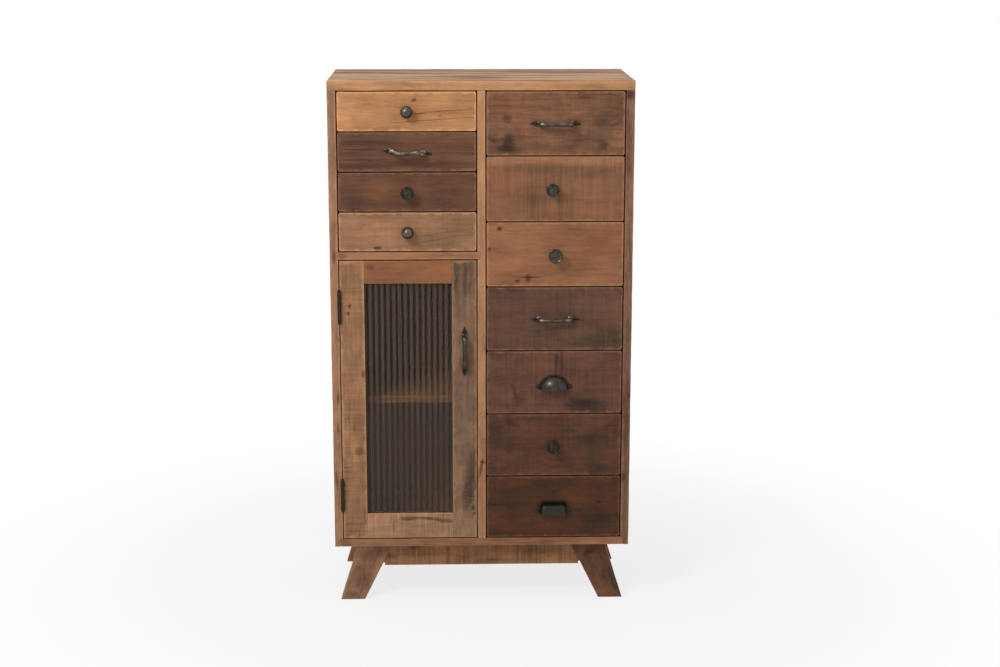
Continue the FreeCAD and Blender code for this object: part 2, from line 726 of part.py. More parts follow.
def knob_on_bolt(name, x, z, solids):
    """A knob with its machine screw, and the tools for the hole in the front."""
    start = behind_front + bolt_head_height
    socket = rod(name + "_socket", (x, front, z), "-y", bolt_radius + screw_play,
                 bolt_length - front_thickness + screw_play)
    knob = cut(name + "_knob", fuse(name + "_blank", solids), [socket])
    shank = rod(name + "_shank", (x, behind_front, z), "-y", bolt_radius, bolt_length)
    head = rod(name + "_bolt_head", (x, start, z), "-y", bolt_head_radius, bolt_head_height)
    bolt = fuse(name + "_bolt", [shank, head])
    hole = rod(name + "_hole", (x, behind_front, z), "-y", bolt_radius + screw_play,
               front_thickness)
    return [knob, bolt], [hole]


def turned(solids, name, x, z, degrees):
    """Carry solids drawn about the origin to a place on a front, turned clockwise."""
    item = group(name + "_set", solids)
    return put(item, (x, front, z), FreeCAD.Rotation(FreeCAD.Vector(0, 1, 0), degrees))


def bow_handle(name, x, z, degrees):
    """A bow handle: grip, two bends, two feet with collars, two leaf-shaped ends."""
    foot = bow_span / 2
    bend_out = bow_reach - bow_radius - bow_bend
    solids = [rod(name + "_grip", (-foot + bow_bend, -(bow_reach - bow_radius), 0), "+x",
                  bow_radius, bow_span - 2 * bow_bend)]
    screws = []
    tools = []
    holes = []
    for hand, sign in (("left", -1), ("right", 1)):
        solids.append(rod("%s_%s_foot" % (name, hand), (sign * foot, 0, 0), "-y",
                          bow_radius, bend_out))
        bend = doc.addObject("Part::Torus", "%s_%s_bend" % (name, hand))
        bind(bend, "Radius1", bow_bend)
        bind(bend, "Radius2", bow_radius)
        bend.Angle3 = 90
        put(bend, (sign * (foot - bow_bend), -bend_out, 0),
            FreeCAD.Rotation(FreeCAD.Vector(0, 0, 1), 180 if sign < 0 else 270))
        solids.append(bend)
        solids.append(cone("%s_%s_collar" % (name, hand), (sign * foot, 0, 0), "-y",
                           collar_radius, bow_radius + collar_lip, collar_height))
        arc = (leaf_plate_length * leaf_plate_length
               + leaf_plate_width * leaf_plate_width) / (4 * leaf_plate_width)
        halves = [rod("%s_%s_leaf_%s" % (name, hand, edge),
                      (sign * bow_screws / 2, 0, turn * (arc - leaf_plate_width / 2)), "-y",
                      arc, leaf_plate_thickness) for edge, turn in (("up", 1), ("down", -1))]
        solids.append(common("%s_%s_leaf" % (name, hand), halves[0], halves[1]))
        screw_name = "%s_%s_screw" % (name, hand)
        place = (sign * bow_screws / 2, -leaf_plate_thickness, 0)
        screws.append(screw(screw_name, place, "+y", pull_screw_length))
        tools += screw_hole(screw_name, place, "+y", pull_screw_length)
        across = math.cos(math.radians(degrees))
        down = math.sin(math.radians(degrees))
        holes.append(rod(screw_name + "_pilot",
                         (x + sign * across * bow_screws / 2, front,
                          z - sign * down * bow_screws / 2),
                         "+y", screw_radius + screw_play,
                         pull_screw_length - leaf_plate_thickness + screw_play))
    casting = cut(name + "_casting", fuse(name + "_blank", solids), tools)
    return [turned([casting] + screws, name, x, z, degrees)], holes


def cup_screw_set(name, places):
    """Screws of a cup pull and the tools for the holes in its flange."""
    screws = []
    tools = []
    holes = []
    for count, (screw_x, screw_z) in enumerate(places, 1):
        place = (screw_x, front - cup_wall, screw_z)
        screw_name = "%s_screw_%d" % (name, count)
        screws.append(screw(screw_name, place, "+y", pull_screw_length))
        tools += screw_hole(screw_name, place, "+y", pull_screw_length)
        holes.append(rod(screw_name + "_pilot", (screw_x, front, screw_z), "+y",
                         screw_radius + screw_play, pull_screw_length - cup_wall + screw_play))
    return screws, tools, holes


def round_cup(name, x, z):
    """A half-round cup pull: a quarter dome on a flange, open below."""
    low = z - (cup_flange_radius - cup_flange_sink) / 2
    flange = rod(name + "_flange", (x, front, low - cup_flange_sink), "-y",
                 cup_flange_radius, cup_wall)
    dome = ball(name + "_dome", (x, front + cup_sink, low), cup_radius)
    hollow = ball(name + "_hollow", (x, front + cup_sink, low), cup_radius - cup_wall)
    reach = 2 * cup_flange_radius
    wood_side = block(name + "_wood_side", x - reach / 2, front, low - reach,
                      reach, reach, 2 * reach)
    below = block(name + "_below", x - reach / 2, front - reach, low - reach,
                  reach, 2 * reach, reach)
    top_screw = cup_flange_radius - cup_flange_sink - screw_head_radius - cup_screw_rim
    screws, tools, holes = cup_screw_set(name, [
        (x - cup_screws / 2, low + cup_screw_lift),
        (x + cup_screws / 2, low + cup_screw_lift),
        (x, low + top_screw)])
    casting = cut(name + "_casting", fuse(name + "_blank", [flange, dome]),
                  [hollow, wood_side, below] + tools)
    return [casting] + screws, holes


def hood(name, x, low, low_width, top_width, low_reach, top_reach, height):
    """A block that narrows upwards, drawn from the drawer front outwards."""
    item = doc.addObject("Part::Wedge", name)
    bind(item, "Xmin", -low_width / 2)
    bind(item, "Xmax", low_width / 2)
    bind(item, "X2min", -top_width / 2)
    bind(item, "X2max", top_width / 2)
    bind(item, "Ymin", 0)
    bind(item, "Ymax", height)
    bind(item, "Zmin", 0)
    bind(item, "Zmax", low_reach)
    bind(item, "Z2min", 0)
    bind(item, "Z2max", top_reach)
    return put(item, (x, front, low), FreeCAD.Rotation(FreeCAD.Vector(1, 0, 0), 90))


def square_cup(name, x, z):
    """A cup pull with flat faces on a trapezoid flange, open below."""
    low = z - hood_height / 2
    slope = hood_height - cup_wall - hood_face
    flange = hood(name + "_flange", x, low, hood_foot, hood_crown, cup_wall, cup_wall,
                  hood_height)
    face = hood(name + "_face", x, low, hood_width, hood_top_width, hood_reach, hood_reach,
                hood_face)
    crown = hood(name + "_crown", x, low + hood_face, hood_top_width,
                 hood_top_width - 2 * cup_wall, hood_reach, cup_wall, slope)
    hollow = hood(name + "_hollow", x, low, hood_width - 2 * cup_wall,
                  hood_top_width - 2 * cup_wall, hood_reach - cup_wall,
                  hood_reach - cup_wall, hood_face)
    hollow_crown = hood(name + "_hollow_crown", x, low + hood_face,
                        hood_top_width - 2 * cup_wall, hood_top_width - 4 * cup_wall,
                        hood_reach - cup_wall, hood_floor, slope - cup_wall)
    screws, tools, holes = cup_screw_set(name, [
        (x - cup_screws / 2, low + cup_screw_lift),
        (x + cup_screws / 2, low + cup_screw_lift)])
    casting = cut(name + "_casting", fuse(name + "_blank", [flange, face, crown]),
                  [hollow, hollow_crown] + tools)
    return [casting] + screws, holes


def level_bow(name, x, z):
    return bow_handle(name, x, z, 0)


def tilted_bow(name, x, z):
    return bow_handle(name, x, z, TILT_OF_LOOSE_BOW)


# Each drawer has its own pull, and a pull may sit a little off the middle
PULLS = {
    ("left", 1): (ball_knob, 0), ("left", 2): (tilted_bow, 0),
    ("left", 3): (ringed_knob, 0), ("left", 4): (ball_knob, 0),
    ("right", 1): (level_bow, -1), ("right", 2): (ringed_knob, -7),
    ("right", 3): (rimmed_knob, 0), ("right", 4): (level_bow, 0),
    ("right", 5): (round_cup, 0), ("right", 6): (ringed_knob, -2),
    ("right", 7): (square_cup, 0),
}


def drawer(side, place_down, column_x, low, height):
    """A drawer: its front, its box of four boards and its pull."""
    name = "%s_drawer_%d" % (side, place_down)
    box_low, box_height = box_sizes(low, height)
    box_x = column_x + box_side_gap
    box_width = column_width - 2 * box_side_gap
    box_y = behind_front - housing
    panel_low = box_low + bottom_lift

    make_pull, offset = PULLS[side, place_down]
    pull_x = column_x + column_width / 2 + offset
    pull_solids, pull_holes = make_pull(name + "_pull", pull_x, low + height / 2)

    front_block = block(name + "_front_block", column_x + reveal, front, low,
                        column_width - 2 * reveal, front_thickness, height)
    front_block = soften(name + "_front_eased", front_block, on_plane("y", front))
    tools = list(pull_holes)
    for hand, side_x in (("near", box_x), ("far", box_x + box_width - box_side)):
        tools.append(block("%s_%s_housing" % (name, hand), side_x, box_y, box_low,
                           box_side, housing, box_height))
    tools.append(block(name + "_front_groove", box_x + box_side, box_y, panel_low,
                       box_width - 2 * box_side, housing, box_bottom + groove_fit))
    node(name + "_front", cut(name + "_front_board", front_block, tools))

    boards = []
    groove_depth = runner_out - box_side_gap + runner_side_play
    groove_height = runner_height + runner_low_play + runner_top_play
    groove_low = box_low + (box_height - runner_height) / 2
    for hand, side_x, groove_x, slot_x in (
            ("near", box_x, box_x, box_x + box_side - box_groove),
            ("far", box_x + box_width - box_side, box_x + box_width - groove_depth,
             box_x + box_width - box_side)):
        board = block("%s_%s_board" % (name, hand), side_x, box_y, box_low,
                      box_side, box_depth + housing, box_height)
        runner_groove = block("%s_%s_groove" % (name, hand), groove_x, behind_front,
                              groove_low, groove_depth, box_depth, groove_height)
        panel_slot = block("%s_%s_slot" % (name, hand), slot_x, box_y, panel_low,
                           box_groove, box_depth + housing, box_bottom + groove_fit)
        boards.append(cut("%s_%s_side" % (name, hand), board, [runner_groove, panel_slot]))
    panel_top = panel_low + box_bottom + groove_fit
    boards.append(block(name + "_back", box_x + box_side, behind_front + box_depth - box_side,
                        panel_top, box_width - 2 * box_side, box_side,
                        box_low + box_height - panel_top))
    boards.append(block(name + "_bottom", box_x + box_side - box_groove, box_y, panel_low,
                        box_width - 2 * box_side + 2 * box_groove, box_depth + housing,
                        box_bottom))
    node(name + "_box", group(name + "_boards", boards))
    node(name + "_pull", group(name + "_pull_set", pull_solids))


for side, (column_x, fronts) in columns.items():
    for place_down, (low, height) in enumerate(fronts, 1):
        drawer(side, place_down, column_x, low, height)

# Door frame, with a ledge behind its opening for the glass
door_height = door_top - door_low
opening_x = door_x + stile_width
opening_width = door_width - 2 * stile_width
opening_low = door_low + low_rail_height
opening_height = door_height - low_rail_height - top_rail_height
ledge_y = front + glass_lip
ledge = block("ledge", opening_x - glass_rebate, ledge_y, opening_low - glass_rebate,
              opening_width + 2 * glass_rebate, door_thickness - glass_lip,
              opening_height + 2 * glass_rebate)
tenon_y = front + (door_thickness - tenon_thickness) / 2
rails = []
mortises = []
for level, rail_z, rail_height in (("low", door_low, low_rail_height),
                                   ("top", door_top - top_rail_height, top_rail_height)):
    board = block("door_%s_rail_block" % level, opening_x, front, rail_z,
                  opening_width, door_thickness, rail_height)
    tenon = block("door_%s_tenon" % level, opening_x - tenon_length, tenon_y,
                  rail_z + tenon_shoulder, opening_width + 2 * tenon_length,
                  tenon_thickness, rail_height - 2 * tenon_shoulder)
    mortises.append(tenon)
    rails.append(cut("door_%s_rail" % level, fuse("door_%s_rail_blank" % level,
                                                  [board, tenon]), [ledge]))
handle_x = door_x + door_width - stile_width / 2
handle_z = door_top - door_handle_drop
handle, handle_holes = bow_handle("door_bow", handle_x, handle_z, UPRIGHT)
stile_tools = {
    "hinge": leaf_recesses["door"] + leaf_tools["door"],
    "latch": handle_holes,
}
for stile, stile_x in (("hinge", door_x), ("latch", door_x + door_width - stile_width)):
    board = block("door_%s_stile_block" % stile, stile_x, front, door_low,
                  stile_width, door_thickness, door_height)
    stile_solid = cut("door_%s_stile_board" % stile, board,
                      [ledge] + mortises + stile_tools[stile])
    node("door_stile_" + stile, stile_solid)
node("door_rails", group("door_rail_pair", rails))


def reeded_glass(x, y, z, width, height):
    """A pane whose front face is a row of shallow round reeds, padded upwards."""
    body = doc.addObject("PartDesign::Body", "glass_body")
    planes = [item for item in body.Origin.OriginFeatures if item.Role == "XY_Plane"]
    sheet_sketch = body.newObject("Sketcher::SketchObject", "glass_sheet")
    sheet_sketch.AttachmentSupport = [(planes[0], "")]
    sheet_sketch.MapMode = "FlatFace"
    rectangle(sheet_sketch, width, glass_thickness)
    sheet_pad = body.newObject("PartDesign::Pad", "glass_sheet_pad")
    sheet_pad.Profile = sheet_sketch
    bind(sheet_pad, "Length", height)
    reed = body.newObject("Sketcher::SketchObject", "glass_reed")
    reed.AttachmentSupport = [(planes[0], "")]
    reed.MapMode = "FlatFace"
    pitch = width / GLASS_REEDS
    chord_start = FreeCAD.Vector(0, 0, 0)
    chord_end = FreeCAD.Vector(number(pitch), 0, 0)
    crest = FreeCAD.Vector(number(pitch) / 2, -number(reed_depth), 0)
    reed.addGeometry(Part.LineSegment(chord_end, chord_start), False)
    reed.addGeometry(Part.Arc(chord_start, crest, chord_end), False)
    reed.addConstraint(Sketcher.Constraint("Coincident", 0, 2, -1, 1))
    reed.addConstraint(Sketcher.Constraint("Coincident", 0, 2, 1, 1))
    reed.addConstraint(Sketcher.Constraint("Coincident", 0, 1, 1, 2))
    reed.addConstraint(Sketcher.Constraint("Horizontal", 0))
    place = reed.addConstraint(Sketcher.Constraint("DistanceX", -1, 1, 0, 1, number(pitch)))
    reed.renameConstraint(place, "pitch")
    reed.setExpression("Constraints.pitch", pitch.text)
    half_chord = pitch / 2
    radius = (half_chord * half_chord + reed_depth * reed_depth) / (2 * reed_depth)
    place = reed.addConstraint(Sketcher.Constraint("Radius", 1, number(radius)))
    reed.renameConstraint(place, "round")
    reed.setExpression("Constraints.round", radius.text)
    reed_pad = body.newObject("PartDesign::Pad", "glass_reed_pad")
    reed_pad.Profile = reed
    bind(reed_pad, "Length", height)
    pattern = body.newObject("PartDesign::LinearPattern", "glass_reeds")
    pattern.Originals = [reed_pad]
    pattern.Direction = (reed, ["H_Axis"])
    pattern.Occurrences = GLASS_REEDS
    bind(pattern, "Length", width - pitch)
    body.Tip = pattern
    return put(body, (x, y, z))


def rectangle(sketch, width, depth):
    """A rectangle from the sketch's origin, its two sizes bound to the sheet."""
    far_x = number(width)
    far_y = number(depth)
    corners = [FreeCAD.Vector(0, 0, 0), FreeCAD.Vector(far_x, 0, 0),
               FreeCAD.Vector(far_x, far_y, 0), FreeCAD.Vector(0, far_y, 0)]
    for count, corner in enumerate(corners):
        sketch.addGeometry(Part.LineSegment(corner, corners[(count + 1) % 4]), False)
    for count in range(4):
        sketch.addConstraint(Sketcher.Constraint("Coincident", count, 2, (count + 1) % 4, 1))
    sketch.addConstraint(Sketcher.Constraint("Coincident", 0, 1, -1, 1))
    for count in (0, 2):
        sketch.addConstraint(Sketcher.Constraint("Horizontal", count))
        sketch.addConstraint(Sketcher.Constraint("Vertical", count + 1))
    for name, kind, length in (("across", "DistanceX", width), ("deep", "DistanceY", depth)):
        place = sketch.addConstraint(
            Sketcher.Constraint(kind, -1, 1, 2, 1, number(length)))
        sketch.renameConstraint(place, name)
        sketch.setExpression("Constraints." + name, length.text)


pane_x = opening_x - glass_rebate + glass_play
pane_z = opening_low - glass_rebate + glass_play
pane_width = opening_width + 2 * (glass_rebate - glass_play)
pane_height = opening_height + 2 * (glass_rebate - glass_play)
glass_y = ledge_y + reed_depth
node("door_glass", reeded_glass(pane_x, glass_y, pane_z, pane_width, pane_height))

# Beads hold the glass from behind, flush with the back of the door
bead_y = glass_y + glass_thickness
bead_depth = front + door_thickness - bead_y
beads = []
for level, bead_z in (("low", opening_low - glass_rebate), ("top", opening_low + opening_height)):
    beads.append(block("bead_" + level, opening_x - glass_rebate, bead_y, bead_z,
                       opening_width + 2 * glass_rebate, bead_depth, glass_rebate))
for hand, bead_x in (("near", opening_x - glass_rebate), ("far", opening_x + opening_width)):
    beads.append(block("bead_" + hand, bead_x, bead_y, opening_low,
                       glass_rebate, bead_depth, opening_height))
node("glass_beads", group("bead_set", beads))
node("door_handle", group("handle_set", handle))
node("hinge_door_leaves", group("door_leaves", hinge_parts["door"]))
plate_block = block("plate_block", catch_x, front + door_thickness, catch_low,
                    catch_width, plate_thickness, catch_height)
node("catch_plate", plate_block)

doc.recompute()


def check(item):
    """Refuse an object whose shape could not be worked out."""
    if any(word in item.State for word in ("Invalid", "Error")):
        raise RuntimeError("failed: %s" % item.Name)


for item in doc.Objects:
    check(item)
os.makedirs("parts", exist_ok=True)
for item in nodes:
    shape = item.Shape
    if shape.isNull() or not shape.isValid() or not shape.Solids:
        raise RuntimeError("no sound solid: %s" % item.Label)
for item in nodes:
    item.Shape.exportStep("parts/%s.step" % item.Label)
    print("%-24s %3d solids %12.0f mm3" % (item.Label, len(item.Shape.Solids), item.Shape.Volume))
print("%d sub-parts" % len(nodes))
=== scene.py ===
import json
import math
from dataclasses import dataclass

import bmesh
import bpy
from mathutils import Matrix, Vector, noise

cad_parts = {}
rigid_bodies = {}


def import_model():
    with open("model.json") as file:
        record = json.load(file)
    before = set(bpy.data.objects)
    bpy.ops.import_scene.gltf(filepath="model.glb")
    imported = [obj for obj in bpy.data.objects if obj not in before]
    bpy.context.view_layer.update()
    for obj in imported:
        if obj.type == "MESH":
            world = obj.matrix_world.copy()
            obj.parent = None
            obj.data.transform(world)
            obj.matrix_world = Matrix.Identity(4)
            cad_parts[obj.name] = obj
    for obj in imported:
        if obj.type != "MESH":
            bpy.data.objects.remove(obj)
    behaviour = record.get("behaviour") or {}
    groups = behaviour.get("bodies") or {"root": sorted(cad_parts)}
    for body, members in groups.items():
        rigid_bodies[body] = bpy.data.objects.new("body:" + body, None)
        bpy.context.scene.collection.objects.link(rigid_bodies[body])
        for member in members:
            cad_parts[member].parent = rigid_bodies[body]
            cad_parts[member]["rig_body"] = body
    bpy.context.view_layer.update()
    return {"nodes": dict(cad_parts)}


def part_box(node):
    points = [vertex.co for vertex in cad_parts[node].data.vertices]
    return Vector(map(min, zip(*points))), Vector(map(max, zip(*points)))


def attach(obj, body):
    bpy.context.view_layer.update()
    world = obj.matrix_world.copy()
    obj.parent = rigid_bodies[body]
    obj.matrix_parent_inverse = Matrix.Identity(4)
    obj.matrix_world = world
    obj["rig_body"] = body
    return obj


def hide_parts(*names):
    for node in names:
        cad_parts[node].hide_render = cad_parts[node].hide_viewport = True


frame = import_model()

bl_info = {
    "name": "Reclaimed Pine Hutch",
    "version": (1, 0, 0),
    "blender": (4, 5, 0),
    "location": "View3D > Sidebar > Hutch",
    "description": "Dresses the packed hutch in reclaimed pine, antique iron and reeded glass",
    "category": "Object",
}

MM = 0.001
PHOTO_WIDTH = 1000
NODES = frame["nodes"]


# Helpers for colours and user settings

def colour(text):
    """The linear colour that a socket takes, from an sRGB hex value."""
    channels = [int(text[at:at + 2], 16) / 255 for at in (1, 3, 5)]
    linear = [c / 12.92 if c <= 0.04045 else ((c + 0.055) / 1.055) ** 2.4 for c in channels]
    return (*linear, 1.0)


def tint(label, hex_value, use):
    """A colour that a user can change."""
    return bpy.props.FloatVectorProperty(name=label, description=use, subtype="COLOR", size=4,
                                         min=0, max=1, default=colour(hex_value))


def length(label, millimetres, use):
    """A length that a user can change."""
    return bpy.props.FloatProperty(name=label, description=use, default=millimetres * MM, min=0,
                                   unit="LENGTH", precision=4)


class HutchPine(bpy.types.PropertyGroup):
    """Colours of the boards, as the light of a plain studio shows them."""
    left_1: tint("Left front 1", "#ba8356", "Light orange front at the top of the left column")
    left_2: tint("Left front 2", "#603e2a", "Dark front with horizontal streaks")
    left_3: tint("Left front 3", "#5d3b27", "Dark front with a ring knot")
    left_4: tint("Left front 4", "#9f7353", "Tan front above the door")
    right_1: tint("Right front 1", "#7c533a", "Brown front at the top of the right column")
    right_2: tint("Right front 2", "#7d543a", "Brown front with saw marks")
    right_3: tint("Right front 3", "#8d5f40", "Orange brown front with small knots")
    right_4: tint("Right front 4", "#5b3d2d", "Dark front with a green stain")
    right_5: tint("Right front 5", "#603d2b", "Dark red brown front with black stains")
    right_6: tint("Right front 6", "#4f2f1c", "Dark front")
    right_7: tint("Right front 7", "#47250d", "Darkest front, at the bottom")
    slab: tint("Front of the top", "#b48259", "Front edges of the two planks of the top")
    slab_top: tint("Top", "#ad835f", "Upper faces of the two planks, greyer from use")
    side_left: tint("Left side", "#a27556", "Left side of the case")
    side_right: tint("Right side", "#845c46", "Right side of the case")
    divider: tint("Divider", "#aa7a56", "Board between the columns")
    rail: tint("Rail", "#966746", "Board between the left drawers and the door")
    bottom: tint("Bottom", "#916447", "Bottom board")
    stile_hinge: tint("Hinge stile", "#966c4b", "Upright of the door at the hinges")
    stile_latch: tint("Latch stile", "#795b45", "Upright of the door at the handle")
    rail_top: tint("Top rail", "#8d5c3a", "Upper member of the door")
    rail_low: tint("Low rail", "#a27a5a", "Lower member of the door")
    leg_left: tint("Left leg", "#896148", "Front left leg")
    leg_right: tint("Right leg", "#69452d", "Front right leg")
    apron: tint("Apron", "#8a5f3f", "Front apron")
    base: tint("Rear of the base", "#936141", "Rear legs, rear apron and side rails")
    inside: tint("Inside boards", "#8f6b4d", "Back boards, shelf and cleats")
    box: tint("Drawer boxes", "#b08d68", "Drawer sides, backs and bottoms")
    runner: tint("Runners", "#b58f6c", "Beech strips that the drawers slide on")


class HutchFittings(bpy.types.PropertyGroup):
    """Colours of what isn't wood."""
    iron: tint("Antique iron", "#2f2b24", "Dull dark iron of the pulls and hinges")
    # Also the colour of the painted highlight on the upper faces of knobs and bows
    iron_rubbed_and_highlight: tint("Rubbed iron", "#a2978a", "Where hands have rubbed the iron bright")
    steel: tint("Screw steel", "#8a8782", "Screws and the catch plate")
    plastic: tint("Catch plastic", "#40291c", "Brown moulded body of the catch")
    glass_shine: tint("Shine of the glass", "#938d8a", "How bright the glass mirrors the studio")
    # Its tint darkens the inside seen through the pane, a painted shade of the inside of the case
    glass: tint("Reeded glass", "#b4a595", "Clear glass with a faint warm tinge")


class HutchSizes(bpy.types.PropertyGroup):
    """Sizes that the finish of the boards and pulls is worked out from."""
    edge_round: length("Rounded edge", 1.3, "Radius that wear has given the edges of the boards")
    corner_round: length("Rounded corner", 4.0, "Radius at the corners of the drawer fronts")
    cut_step: length("Step of the edge wear", 14.0, "Distance between the cuts across a board")
    hollow: length("Hollows", 0.35, "How deep the planed faces dip")
    dent: length("Dents", 0.55, "How deep the edges are dented")
    wear_width: length("Width of the wear", 6.5, "How far the pale wear reaches in from an edge")
    saw_gap: length("Saw marks", 5.4, "Distance between the marks of the saw; real ones are finer")
    grip_radius: length("Grip", 4.5, "Half the thickness of a bow handle's grip")
    cup_wall: length("Cup wall", 2.4, "Thickness of the cup pulls")


class HutchStage(bpy.types.PropertyGroup):
    """Camera, lamps and floor."""
    camera_place: bpy.props.FloatVectorProperty(
        name="Camera", description="Where the camera stands", subtype="TRANSLATION", unit="LENGTH",
        default=(-0.0812, -4.3929, 1.5892))
    camera_yaw: bpy.props.FloatProperty(
        name="Yaw", description="Turn of the camera towards the right", subtype="ANGLE",
        default=math.radians(1.678))
    camera_pitch: bpy.props.FloatProperty(
        name="Pitch", description="Tilt of the camera below the horizon", subtype="ANGLE",
        default=math.radians(12.326))
    camera_roll: bpy.props.FloatProperty(
        name="Roll", description="Turn of the camera about its own axis", subtype="ANGLE",
        default=math.radians(0.033))
    focal_pixels: bpy.props.FloatProperty(
        name="Focal length", description="In pixels of a picture 1000 pixels wide", default=1859.4)
    key_power: bpy.props.FloatProperty(
        name="Key lamp", description="Power of the soft lamp at the upper left", unit="POWER",
        default=62.0)
    fill_level: bpy.props.FloatProperty(
        name="Fill", description="Level of the light from all round", default=0.52)
    floor: tint("Floor", "#f7f7f7", "Pale floor")


# Nodes

def add(tree, kind, inputs=None, **settings):
    """Adds a node with its settings. An input is a value, a node's first output, or a socket."""
    node = tree.nodes.new(kind)
    for name, value in settings.items():
        setattr(node, name, value)
    pairs = inputs.items() if isinstance(inputs, dict) else enumerate(inputs or [])
    shown = [socket for socket in node.inputs if socket.enabled]
    for key, value in pairs:
        socket = shown[key] if isinstance(key, int) else next(s for s in shown if s.name == key)
        if isinstance(value, bpy.types.Node):
            value = next(output for output in value.outputs if output.enabled)
        if isinstance(value, bpy.types.NodeSocket):
            tree.links.new(value, socket)
        else:
            socket.default_value = value
    return node


def group(name, inputs, outputs):
    """An empty node group with its sockets, and the nodes for what goes in and comes out."""
    tree = bpy.data.node_groups.new(name, "ShaderNodeTree")
    for label, kind in inputs:
        tree.interface.new_socket(name=label, in_out="INPUT", socket_type="NodeSocket" + kind)
    for label, kind in outputs:
        tree.interface.new_socket(name=label, in_out="OUTPUT", socket_type="NodeSocket" + kind)
    return tree, tree.nodes.new("NodeGroupInput").outputs, tree.nodes.new("NodeGroupOutput").inputs


# Wood: a board was cut out of a trunk, so its figure is the year rings round the heart of the tree.
# All patterns are in millimetres, x along the grain, y across it and z into the board.

RING_WANDER = 26
RING_RIPPLE = 6
STREAK_SIZE = (230, 10, 10)
WANDER_SIZE = (260, 48, 48)
RIPPLE_SIZE = (70, 11, 11)
BLOTCH_SIZE = (95, 48, 48)
FAINT_SIZE = (120, 55, 55)
FIBRE_SIZE = (34, 2.4, 2.4)
PORE_SIZE = (60, 2.8, 2.8)
GRIME_SIZE = (150, 24, 24)
GRIME = (0.62, 0.62, 0.58, 1.0)
SAW_LENGTH = 150
PLANK_TONE = 0.5
BARE_SHARE = 0.16
DARK_SHARE = 1.9
LIGHT_SHARE = 1.35
SAW_PATCH = (90, 70, 70)
SEED_STEP = (917, 311, 533)


def inverse(size):
    """What a pattern's coordinates are multiplied with so that it has this size."""
    return tuple(1 / value for value in size)


